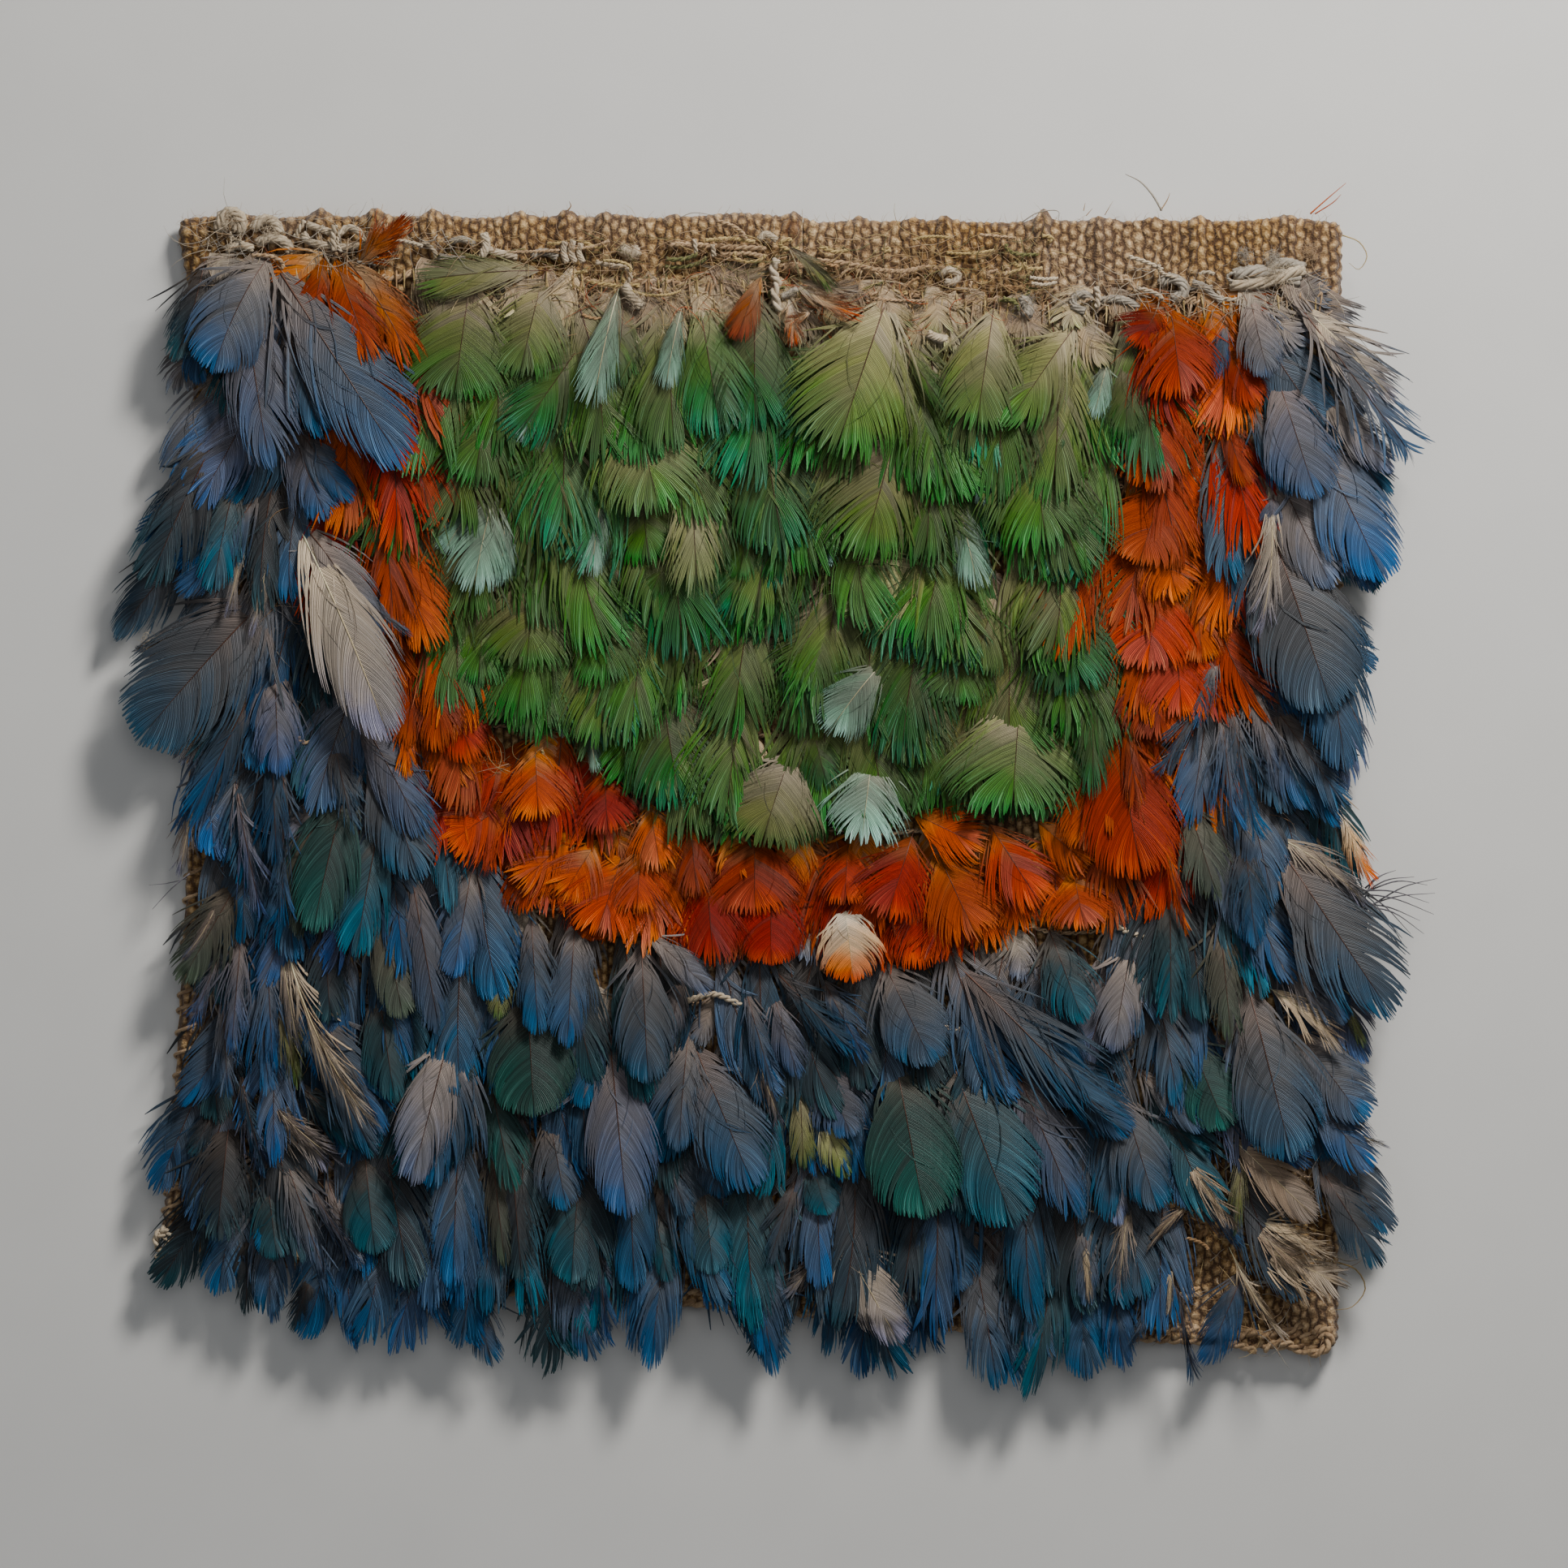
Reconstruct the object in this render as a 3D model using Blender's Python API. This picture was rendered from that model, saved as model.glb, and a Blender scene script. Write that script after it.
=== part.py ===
"""Feather tunic, a miniature, laid flat with its front up. Metres, +Z up.

The cloth is one web, folded at the shoulder: a back panel on the surface and a
front panel on it. Rows of feather strings lie on the front. Each string is a
cord with its feathers fused to it at their roots, so a string is one solid.

Origin: the middle of the back panel's flat underside. +X is to the right and
+Y towards the shoulder fold, as seen from above.
"""

import math
import random

import bmesh
import bpy

MM = 0.001

# Cloth: thickness of each web, and the gap that keeps two pieces apart.
WALL = 1.3 * MM
GAP = 0.3 * MM
FRONT_BASE = WALL + GAP
FRONT_TOP = FRONT_BASE + WALL

# Outline of both panels. The crest is the shoulder fold.
CREST_Y = 74.3 * MM
CREST_STEP = 0.6 * MM
SIDE_EDGES = (
    # y, left x, right x
    (75.0 * MM, -80.3 * MM, 80.4 * MM),
    (67.0 * MM, -78.6 * MM, 80.3 * MM),
    (56.0 * MM, -77.7 * MM, 80.2 * MM),
    (-10.0 * MM, -78.3 * MM, 80.0 * MM),
    (-51.5 * MM, -80.6 * MM, 79.9 * MM),
    (-66.0 * MM, -82.2 * MM, 79.8 * MM),
    (-81.0 * MM, -82.4 * MM, 79.4 * MM),
)
HEM_EDGE = (
    # x, y
    (-82.4 * MM, -66.0 * MM),
    (-64.3 * MM, -68.9 * MM),
    (-50.8 * MM, -72.5 * MM),
    (-15.0 * MM, -74.2 * MM),
    (29.8 * MM, -78.4 * MM),
    (80.4 * MM, -81.2 * MM),
)

# Ribs where the cloth puckers below the shoulder fold.
RIBS = (
    # x, half width, height, reach down the front, rise of the crest line
    (-72.6 * MM, 2.6 * MM, 0.7 * MM, 5.5 * MM, 1.3 * MM),
    (-60.8 * MM, 2.4 * MM, 0.6 * MM, 5.5 * MM, 1.2 * MM),
    (-53.0 * MM, 2.2 * MM, 0.7 * MM, 5.5 * MM, 1.2 * MM),
    (-44.7 * MM, 2.6 * MM, 0.4 * MM, 6.0 * MM, 1.0 * MM),
    (-33.5 * MM, 2.8 * MM, 0.3 * MM, 6.0 * MM, 0.8 * MM),
    (-26.7 * MM, 2.2 * MM, 0.4 * MM, 6.0 * MM, 1.0 * MM),
    (-19.8 * MM, 2.4 * MM, 0.4 * MM, 6.0 * MM, 0.8 * MM),
    (-3.4 * MM, 6.0 * MM, 0.4 * MM, 5.0 * MM, 1.1 * MM),
    (13.0 * MM, 2.4 * MM, 0.4 * MM, 7.0 * MM, 0.5 * MM),
    (20.6 * MM, 2.0 * MM, 0.4 * MM, 8.0 * MM, 0.7 * MM),
    (26.4 * MM, 1.3 * MM, 0.8 * MM, 8.0 * MM, 0.4 * MM),
    (38.4 * MM, 1.6 * MM, 1.1 * MM, 10.0 * MM, 0.9 * MM),
    (47.2 * MM, 2.2 * MM, 0.7 * MM, 9.0 * MM, 0.6 * MM),
    (53.6 * MM, 2.2 * MM, 0.3 * MM, 9.0 * MM, 0.8 * MM),
    (60.2 * MM, 1.5 * MM, 0.8 * MM, 8.0 * MM, 0.6 * MM),
    (71.0 * MM, 5.0 * MM, 0.3 * MM, 6.0 * MM, 0.8 * MM),
)

# Slow swells of the laid cloth.
SWELLS = (
    # height, wavelength in x, wavelength in y, start angle
    (0.16 * MM, 37.0 * MM, 61.0 * MM, 0.4),
    (0.10 * MM, 23.0 * MM, -44.0 * MM, 2.1),
)

# Neck slit, open through the fold and down both panels.
SLIT_X = 6.2 * MM
SLIT_WIDTH = 0.9 * MM

# Rows of the panels' grids, as distances down from the crest and up from the hem.
CREST_ROWS = (0.0, 0.25 * MM, 0.8 * MM, 1.4 * MM, 3.2 * MM, 5.6 * MM, 8.2 * MM, 10.8 * MM)
HEM_ROWS = (3.4 * MM, 2.0 * MM, 0.7 * MM, 0.0)
MIDDLE_ROWS = 10
SLIT_ROWS = len(CREST_ROWS)
COLUMN_STEP = 6.5 * MM
CLOSEST_COLUMNS = 1.1 * MM
CREST_ROUND = 1.4 * MM
EDGE_ROUND = 0.7 * MM
CREST_LIP = 0.15
EDGE_LIP = 0.5
HEM_ROLL = 0.5 * MM
HEM_ROLL_AT = 1.4 * MM
HEM_ROLL_HALF = 2.0 * MM

# Feather strings: rows from the shoulder down, evenly spaced between two lines.
ROWS = 11
FIRST_ROW = (
    # x, y
    (-80.0 * MM, 68.6 * MM),
    (-48.0 * MM, 67.2 * MM),
    (0.0 * MM, 65.6 * MM),
    (40.0 * MM, 62.4 * MM),
    (80.0 * MM, 64.2 * MM),
)
LAST_ROW = (
    # x, y
    (-80.0 * MM, -53.6 * MM),
    (-20.0 * MM, -57.2 * MM),
    (40.0 * MM, -59.8 * MM),
    (80.0 * MM, -60.8 * MM),
)
ROW_START = -76.0 * MM
STRINGS = (
    # row, colour, side, x where the string ends on its right, share of the colour's length
    (1, "blue", "left", -61.4 * MM, 1.0),
    (1, "orange", "left", -48.6 * MM, 1.1),
    (1, "green", "middle", 51.6 * MM, 1.0),
    (1, "red", "right", 64.6 * MM, 1.2),
    (1, "blue", "right", 77.6 * MM, 1.0),
    (2, "blue", "left", -59.8 * MM, 1.0),
    (2, "orange", "left", -47.5 * MM, 1.0),
    (2, "green", "middle", 49.4 * MM, 1.0),
    (2, "orange", "right", 63.4 * MM, 1.0),
    (2, "blue", "right", 78.0 * MM, 1.0),
    (3, "blue", "left", -57.6 * MM, 1.0),
    (3, "orange", "left", -45.2 * MM, 1.0),
    (3, "green", "middle", 48.2 * MM, 1.0),
    (3, "orange", "right", 62.8 * MM, 1.0),
    (3, "blue", "right", 78.0 * MM, 1.0),
    (4, "blue", "left", -54.2 * MM, 1.1),
    (4, "orange", "left", -43.0 * MM, 1.0),
    (4, "green", "middle", 47.7 * MM, 1.0),
    (4, "orange", "right", 62.2 * MM, 1.0),
    (4, "blue", "right", 78.0 * MM, 1.1),
    (5, "blue", "left", -50.8 * MM, 1.0),
    (5, "orange", "left", -40.2 * MM, 1.0),
    (5, "green", "middle", 46.5 * MM, 0.82),
    (5, "orange", "right", 60.0 * MM, 1.0),
    (5, "blue", "right", 78.0 * MM, 1.0),
    (6, "blue", "left", -45.6 * MM, 1.0),
    (6, "red", "left", -22.0 * MM, 1.0),
    (6, "green", "middle", 44.4 * MM, 0.68),
    (6, "orange", "right", 57.2 * MM, 0.9),
    (6, "blue", "right", 78.0 * MM, 1.0),
    (7, "blue", "left", -38.6 * MM, 1.0),
    (7, "red", "middle", 49.6 * MM, 1.0),
    (7, "blue", "right", 78.0 * MM, 1.0),
    (8, "blue", "whole", 78.0 * MM, 1.0),
    (9, "blue", "whole", 78.0 * MM, 1.0),
    (10, "blue", "whole", 78.0 * MM, 1.0),
    (11, "blue", "whole", 52.0 * MM, 0.86),
)
FEATHER_PITCH = 8.3 * MM
ROOT_JITTER = 0.7 * MM
FEATHERS = {
    # colour: length, how much it varies, width, how much it varies
    "blue": (29.0 * MM, 3.5 * MM, 11.0 * MM, 0.8 * MM),
    "green": (23.5 * MM, 2.5 * MM, 11.4 * MM, 0.6 * MM),
    "orange": (20.0 * MM, 2.0 * MM, 11.2 * MM, 0.6 * MM),
    "red": (15.5 * MM, 1.5 * MM, 10.2 * MM, 0.8 * MM),
}
SEED = 11

# A string's cord, and a feather's form along its length.
CORD_DEEP = 1.5 * MM
CORD_HIGH = 1.0 * MM
CORD_LIFT = 0.35 * MM
CORD_END = 0.9 * MM
ROOT_WIDTH = 1.6 * MM
BLADE = (
    # share of the length, share of the width, thickness
    (0.28, 0.72, 0.50 * MM),
    (0.58, 1.00, 0.50 * MM),
    (0.85, 0.70, 0.42 * MM),
    (1.00, 0.16, 0.25 * MM),
)
RIDGE_SHARE = 0.22

# How the feathers lie: all rows climb alike, so each row clears the one below it.
BLADE_LIFT = 0.65 * MM
CLIMB = 0.165
CLIMB_EASE = 0.6
STAGGER = 0.75 * MM
YAW_JITTER = math.radians(3.2)
SIDE_FAN = math.radians(28.0)
FAN_FROM = 44.0 * MM
FAN_TO = 80.0 * MM
FAN_SHARES = (
    # row, share of the fan on the left, share on the right
    (1, 0.45, 1.0),
    (2, 0.8, 1.0),
    (3, 1.0, 0.9),
    (4, 1.0, 0.6),
    (5, 1.0, 0.5),
    (6, 0.5, 0.6),
    (7, 0.3, 1.0),
    (8, 0.3, 1.1),
    (9, 0.25, 1.0),
    (10, 0.4, 1.0),
    (11, 0.5, 1.0),
)
SIDE_DROOP = 2.0 * MM
SIDE_DROOP_FROM = 77.0 * MM
SIDE_DROOP_OVER = 18.0 * MM
HEM_DROOP = 1.8 * MM
HEM_DROOP_OVER = 12.0 * MM

MATERIALS = {
    # finish: colour, roughness, metallic
    "cotton_cloth": ((0.54, 0.40, 0.26), 0.95, 0.0),
    "feather_blue": ((0.10, 0.17, 0.34), 0.55, 0.0),
    "feather_green": ((0.13, 0.27, 0.07), 0.55, 0.0),
    "feather_orange": ((0.62, 0.15, 0.03), 0.60, 0.0),
    "feather_red": ((0.60, 0.06, 0.02), 0.60, 0.0),
}


def clear_scene():
    """Remove what the file holds already, so that the script can be run again."""
    for thing in list(bpy.data.objects):
        bpy.data.objects.remove(thing, do_unlink=True)
    for store in (bpy.data.meshes, bpy.data.materials, bpy.data.collections):
        for block in list(store):
            store.remove(block)


def make_material(piece, finish):
    """A material of the piece's own, in one of the finishes of MATERIALS."""
    colour, roughness, metallic = MATERIALS[finish]
    material = bpy.data.materials.new(f"{piece}_{finish}")
    material.use_nodes = True
    shader = material.node_tree.nodes["Principled BSDF"]
    shader.inputs["Base Color"].default_value = (*colour, 1.0)
    shader.inputs["Roughness"].default_value = roughness
    shader.inputs["Metallic"].default_value = metallic
    return material


def smooth(share):
    """0 to 1 with soft ends."""
    share = min(max(share, 0.0), 1.0)
    return share * share * (3.0 - 2.0 * share)


def bump(offset, half_width):
    """1 in the middle, 0 from half_width on."""
    return 1.0 - smooth(abs(offset) / half_width)


def along(table, at, column=1):
    """Value of a table's column between its rows, which are sorted by their first column."""
    rows = sorted(table)
    if at <= rows[0][0]:
        return rows[0][column]
    for low, high in zip(rows, rows[1:]):
        if at <= high[0]:
            share = (at - low[0]) / (high[0] - low[0])
            return low[column] + (high[column] - low[column]) * share
    return rows[-1][column]


def crest_y(x):
    """The shoulder fold's line, which rises over each rib and steps down at the neck slit."""
    step = CREST_STEP if x < SLIT_X else 0.0
    rise = max(row[4] * bump(x - row[0], row[1] * 1.6) for row in RIBS)
    return CREST_Y + step * (1.0 - rise / (2.0 * MM)) + rise


def hem_y(x):
    return along(HEM_EDGE, x)


def swell(x, y):
    """Height of the cloth's slow waves."""
    return sum(
        row[0] * math.sin(math.tau * (x / row[1] + y / row[2]) + row[3]) for row in SWELLS
    )


def ribs(x, depth):
    """Height of the ribs at a distance below the crest."""
    total = 0.0
    for at, half_width, height, reach, _ in RIBS:
        fade = 1.0 - smooth((depth - 0.4 * reach) / (0.6 * reach))
        total = max(total, height * fade * bump(x - at, half_width))
    return total


def rounded(distance, radius, lip):
    """Share of the full wall at a distance in from a rounded edge."""
    if distance >= radius:
        return 1.0
    inward = 1.0 - max(distance, 0.0) / radius
    return lip + (1.0 - lip) * math.sqrt(max(0.0, 1.0 - inward * inward))


def grid_columns():
    """Places across the cloth: a few on each rib, both lips of the slit and an even fill."""
    left = SIDE_EDGES[0][1]
    right = SIDE_EDGES[0][2]
    places = [left, left + EDGE_ROUND, right - EDGE_ROUND, right]
    places += [SLIT_X - SLIT_WIDTH / 2, SLIT_X + SLIT_WIDTH / 2]
    wanted = []
    for at, half_width, *_ in RIBS:
        wanted += [at, at - half_width, at + half_width]
    count = int((right - left) / COLUMN_STEP)
    wanted += [left + (right - left) * k / count for k in range(count + 1)]
    for place in wanted:
        if all(abs(place - other) > CLOSEST_COLUMNS for other in places):
            places.append(place)
    return sorted(places)


def row_places(crest, hem):
    """Heights up the cloth, from the crest down to the hem."""
    top = crest - CREST_ROWS[-1]
    bottom = hem + HEM_ROWS[0]
    step = (top - bottom) / MIDDLE_ROWS
    places = [crest - down for down in CREST_ROWS]
    places += [top - step * k for k in range(1, MIDDLE_ROWS)]
    places += [hem + up for up in HEM_ROWS]
    return places


def panel(name, columns, base, relief):
    """A web of cloth as a closed wall: its upper side is a grid, its lower side is flat at base.

    relief is 1 on the front, whose upper side shows, and 0 on the back, which lies hidden.
    """
    left = columns[0]
    width = columns[-1] - left
    slit = columns.index(SLIT_X - SLIT_WIDTH / 2)
    down = len(row_places(CREST_Y, hem_y(0.0)))
    bm = bmesh.new()
    bmesh.ops.create_grid(
        bm, x_segments=len(columns) - 1, y_segments=down - 1, size=0.5
    )
    cells = {}
    for vert in bm.verts:
        column = round((vert.co.x + 0.5) * (len(columns) - 1))
        row = round((0.5 - vert.co.y) * (down - 1))
        cells[vert] = (column, row)
    open_faces = []
    for face in bm.faces:
        column = min(cells[vert][0] for vert in face.verts)
        row = min(cells[vert][1] for vert in face.verts)
        if column == slit and row < SLIT_ROWS:
            open_faces.append(face)
    bmesh.ops.delete(bm, geom=open_faces, context="FACES")
    for vert in bm.verts:
        column, row = cells[vert]
        x = columns[column]
        y = row_places(crest_y(x), hem_y(x))[row]
        start = along(SIDE_EDGES, y, 1)
        end = along(SIDE_EDGES, y, 2)
        depth = crest_y(x) - y
        above_hem = y - hem_y(x)
        round_off = min(
            rounded(depth, CREST_ROUND, CREST_LIP),
            rounded(above_hem, EDGE_ROUND, EDGE_LIP),
            rounded(min(x - left, columns[-1] - x), EDGE_ROUND, EDGE_LIP),
        )
        roll = HEM_ROLL * bump(above_hem - HEM_ROLL_AT, HEM_ROLL_HALF)
        raised = relief * (swell(x, y) + ribs(x, depth) + roll)
        vert.co = (
            start + (end - start) * (x - left) / width,
            y,
            base + (WALL + raised) * round_off,
        )
    lower = bmesh.ops.extrude_face_region(bm, geom=bm.faces[:], use_keep_orig=True)
    for thing in lower["geom"]:
        if isinstance(thing, bmesh.types.BMVert):
            thing.co.z = base
    piece = finish_piece(name, bm, "cotton_cloth")
    piece.data.shade_smooth()
    return piece


def finish_piece(name, bm, finish):
    """Turn a bmesh into a named object with its own material."""
    bmesh.ops.recalc_face_normals(bm, faces=bm.faces[:])
    mesh = bpy.data.meshes.new(name)
    bm.to_mesh(mesh)
    bm.free()
    mesh.materials.append(make_material(name, finish))
    piece = bpy.data.objects.new(name, mesh)
    TUNIC.objects.link(piece)
    return piece


def row_y(row, x):
    """A feather row's line on the cloth."""
    share = (row - 1) / (ROWS - 1)
    return along(FIRST_ROW, x) * (1.0 - share) + along(LAST_ROW, x) * share


def laid_height(x, y, below_row):
    """Height of a feather's underside at a distance below its own row."""
    climb = CLIMB * below_row - CLIMB_EASE * below_row * below_row
    side = smooth((abs(x) - SIDE_DROOP_FROM) / SIDE_DROOP_OVER)
    past_hem = smooth((hem_y(x) - y) / HEM_DROOP_OVER)
    droop = SIDE_DROOP * side + HEM_DROOP * past_hem
    return FRONT_TOP + swell(x, y) + BLADE_LIFT + climb - droop


def side_fan(row, x):
    """How far a feather near a side turns outwards, as an angle from straight down."""
    share = along(FAN_SHARES, row, 1 if x < 0 else 2)
    angle = SIDE_FAN * share * smooth((abs(x) - FAN_FROM) / (FAN_TO - FAN_FROM))
    return math.copysign(angle, x)


def plan_row(row, strings):
    """The row's feathers, as one list for each of its strings, from left to right."""
    draw = random.Random(SEED + row)
    plans = [[] for _ in strings]
    last = strings[-1][3]
    for index in range(int((last - ROW_START) / FEATHER_PITCH) + 1):
        x = ROW_START + (index + 0.5) * FEATHER_PITCH + draw.uniform(-1, 1) * ROOT_JITTER
        longer, wider, turn = (draw.uniform(-1, 1) for _ in range(3))
        if x > last:
            continue
        which = next(k for k, string in enumerate(strings) if x <= string[3])
        length, length_spread, width, width_spread = FEATHERS[strings[which][1]]
        plans[which].append({
            "x": x,
            "length": (length + longer * length_spread) * strings[which][4],
            "width": width + wider * width_spread,
            "yaw": side_fan(row, x) + turn * YAW_JITTER,
            "raised": STAGGER * (index % 2),
        })
    return plans


def blade_ring(bm, feather, row, station):
    """Four corners of a feather at one station: a broad underside and a narrow ridge."""
    share, width_share, thickness = station
    start_y = row_y(row, feather["x"]) - CORD_DEEP / 2
    reach = feather["length"] * share
    half = feather["width"] * width_share / 2
    ring = []
    for side, up in ((-1, 0), (1, 0), (RIDGE_SHARE, 1), (-RIDGE_SHARE, 1)):
        x = feather["x"] + reach * math.sin(feather["yaw"]) + side * half * math.cos(feather["yaw"])
        y = start_y - reach * math.cos(feather["yaw"]) + side * half * math.sin(feather["yaw"])
        z = laid_height(x, y, start_y - y) + feather["raised"] + up * thickness
        ring.append(bm.verts.new((x, y, z)))
    return ring


def skin(bm, ring, next_ring):
    """Faces between two rings of the same count."""
    count = len(ring)
    for k in range(count):
        after = (k + 1) % count
        bm.faces.new((ring[k], ring[after], next_ring[after], next_ring[k]))


def feather_string(name, row, colour, plan):
    """One string: a cord along the row, and a blade from its lower side for each feather."""
    stations = [plan[0]["x"] - ROOT_WIDTH / 2 - CORD_END]
    for feather in plan:
        stations += [feather["x"] - ROOT_WIDTH / 2, feather["x"] + ROOT_WIDTH / 2]
    stations.append(stations[-1] + CORD_END)
    bm = bmesh.new()
    rings = []
    for x in stations:
        y = row_y(row, x)
        z = FRONT_TOP + swell(x, y) + CORD_LIFT
        corners = (
            (y - CORD_DEEP / 2, z),
            (y - CORD_DEEP / 2, z + CORD_HIGH),
            (y + CORD_DEEP / 2, z + CORD_HIGH),
            (y + CORD_DEEP / 2, z),
        )
        rings.append([bm.verts.new((x, *corner)) for corner in corners])
    for k, (ring, next_ring) in enumerate(zip(rings, rings[1:])):
        for side in range(4):
            after = (side + 1) % 4
            is_root = side == 0 and k % 2 == 1
            if not is_root:
                bm.faces.new((ring[side], ring[after], next_ring[after], next_ring[side]))
    bm.faces.new(rings[0])
    bm.faces.new(rings[-1])
    for index, feather in enumerate(plan):
        low, high = rings[2 * index + 1], rings[2 * index + 2]
        ring = [low[0], high[0], high[1], low[1]]
        for station in BLADE:
            next_ring = blade_ring(bm, feather, row, station)
            skin(bm, ring, next_ring)
            ring = next_ring
        bm.faces.new(ring)
    return finish_piece(name, bm, "feather_" + colour)


def build_strings():
    for row in range(1, ROWS + 1):
        strings = [string for string in STRINGS if string[0] == row]
        for (_, colour, side, *_), plan in zip(strings, plan_row(row, strings)):
            feather_string(f"string_{row:02d}_{colour}_{side}", row, colour, plan)


clear_scene()
TUNIC = bpy.data.collections.new("feather_tunic")
bpy.context.scene.collection.children.link(TUNIC)
COLUMNS = grid_columns()
panel("back_panel", COLUMNS, 0.0, 0.0)
panel("front_panel", COLUMNS, FRONT_BASE, 1.0)
build_strings()
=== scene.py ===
# %% [markdown]
# # A feather tunic, laid flat
# The tunic is a small web of undyed handspun cotton, folded at the shoulder.
# Rows of feather strings are sewn over its front: a blue ground, a green yoke
# and an orange U between them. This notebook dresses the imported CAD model, whose
# panels and strings are plain solids, with woven cloth, cords and real plumage.
# Every length is in metres, in the CAD's own frame: +X to the right, +Y up to
# the shoulder, +Z out of the front.

import math

import bmesh
import bpy
import numpy as np
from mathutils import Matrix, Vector
from mathutils.bvhtree import BVHTree


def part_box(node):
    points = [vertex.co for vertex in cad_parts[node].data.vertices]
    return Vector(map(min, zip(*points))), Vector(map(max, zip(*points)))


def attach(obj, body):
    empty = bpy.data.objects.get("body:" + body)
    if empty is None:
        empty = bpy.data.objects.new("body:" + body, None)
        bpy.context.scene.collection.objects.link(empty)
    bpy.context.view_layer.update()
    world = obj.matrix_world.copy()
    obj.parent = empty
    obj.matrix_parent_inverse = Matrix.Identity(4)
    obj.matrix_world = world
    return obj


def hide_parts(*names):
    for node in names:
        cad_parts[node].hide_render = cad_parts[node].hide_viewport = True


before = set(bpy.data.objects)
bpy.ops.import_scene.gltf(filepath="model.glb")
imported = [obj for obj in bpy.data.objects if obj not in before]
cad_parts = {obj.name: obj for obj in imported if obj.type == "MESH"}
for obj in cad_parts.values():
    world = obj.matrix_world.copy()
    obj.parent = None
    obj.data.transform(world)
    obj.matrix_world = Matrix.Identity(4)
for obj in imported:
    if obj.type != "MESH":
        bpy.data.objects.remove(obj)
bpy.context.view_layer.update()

MM = 0.001
SEED = 29


# %% [markdown]
# ## The studio
# A tunic like this is photographed from straight above. The camera hangs 1.5 m
# over it on a long lens, so that the picture is almost without perspective. The
# main light comes from above and the right, as in the photograph, and a large weak one
# fills the shadows from the other side. The floor is plain and pale.

# %% Camera, lights and floor
CAMERA_HEIGHT = 1.5
VIEW_MIDDLE = (3.58 * MM, -2.91 * MM)
VIEW_WIDTH = 216.4 * MM
SENSOR = 36.0
LIGHTS = (
    # name, place, size, power in watts, colour
    ("key_light", (0.22, 0.38, 0.3), 0.14, 3.4, (1.0, 0.965, 0.91)),
    ("fill_light", (-0.55, -0.35, 0.6), 0.7, 0.7, (0.9, 0.95, 1.0)),
    ("top_light", (0.05, 0.2, 0.9), 0.5, 0.9, (1.0, 0.99, 0.97)),
)
WORLD_LIGHT = 0.085
WORLD_COLOUR = (0.93, 0.96, 1.0, 1.0)
FLOOR_HALF = 3.0
FLOOR_COLOURS = ((0.7, 0.7, 0.69, 1), (0.76, 0.76, 0.75, 1))


def into_scene(name, data):
    """An object in the scene for a camera, a lamp or a mesh."""
    thing = bpy.data.objects.new(name, data)
    bpy.context.scene.collection.objects.link(thing)
    return thing


def mesh_from(bm, name):
    """A mesh of what a bmesh has made."""
    mesh = bpy.data.meshes.new(name)
    bm.to_mesh(mesh)
    bm.free()
    return mesh


def aim(thing, place, target):
    """Put a lamp or camera in place, looking at a point."""
    thing.location = place
    direction = Vector(target) - Vector(place)
    thing.rotation_euler = direction.to_track_quat("-Z", "Y").to_euler()


def feed(socket, value):
    """Link a socket to another node's, or give it a constant."""
    if isinstance(value, bpy.types.NodeSocket):
        socket.id_data.links.new(value, socket)
    else:
        socket.default_value = value


def node(tree, kind, **values):
    """A shader node with its settings made and its sockets fed."""
    made = tree.nodes.new("ShaderNode" + kind)
    for name, value in values.items():
        socket = name.replace("_", " ")
        if socket in made.inputs:
            feed(made.inputs[socket], value)
        else:
            setattr(made, name, value)
    return made


def new_finish(name, **sockets):
    """A Principled material with constants on its own sockets."""
    material = bpy.data.materials.new(name)
    material.use_nodes = True
    shader = material.node_tree.nodes["Principled BSDF"]
    for socket, value in sockets.items():
        shader.inputs[socket.replace("_", " ")].default_value = value
    return material, material.node_tree, shader


def object_place(tree):
    """Object coordinates, which lie still on a piece and need no UV map."""
    return node(tree, "TexCoord").outputs["Object"]


def object_noise(tree, scale, detail):
    place = object_place(tree)
    return node(tree, "TexNoise", Vector=place, Scale=scale, Detail=detail).outputs["Fac"]


def hang_camera(scene):
    camera = into_scene("camera", bpy.data.cameras.new("camera"))
    camera.data.sensor_width = SENSOR
    camera.data.lens = SENSOR * CAMERA_HEIGHT / VIEW_WIDTH
    camera.data.clip_start = 0.05
    camera.location = (*VIEW_MIDDLE, CAMERA_HEIGHT)
    scene.camera = camera


def light_studio(scene):
    for name, place, size, power, colour in LIGHTS:
        lamp = bpy.data.lights.new(name, "AREA")
        lamp.shape = "DISK"
        lamp.size = size
        lamp.energy = power
        lamp.color = colour
        aim(into_scene(name, lamp), place, (0, 0, 0))
    world = scene.world or bpy.data.worlds.new("studio")
    scene.world = world
    world.use_nodes = True
    background = world.node_tree.nodes["Background"]
    background.inputs["Color"].default_value = WORLD_COLOUR
    background.inputs["Strength"].default_value = WORLD_LIGHT


def lay_floor():
    bm = bmesh.new()
    bmesh.ops.create_grid(bm, x_segments=1, y_segments=1, size=FLOOR_HALF)
    floor = into_scene("floor", mesh_from(bm, "floor"))
    material, tree, shader = new_finish("floor_paper", Roughness=0.9)
    ramp = node(tree, "ValToRGB", Fac=object_noise(tree, 60.0, 3.0))
    for stop, colour in zip(ramp.color_ramp.elements, FLOOR_COLOURS):
        stop.color = colour
    feed(shader.inputs["Base Color"], ramp.outputs["Color"])
    floor.data.materials.append(material)


hang_camera(bpy.context.scene)
light_studio(bpy.context.scene)
lay_floor()
print("camera lens in mm:", round(bpy.context.scene.camera.data.lens, 1))

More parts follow.
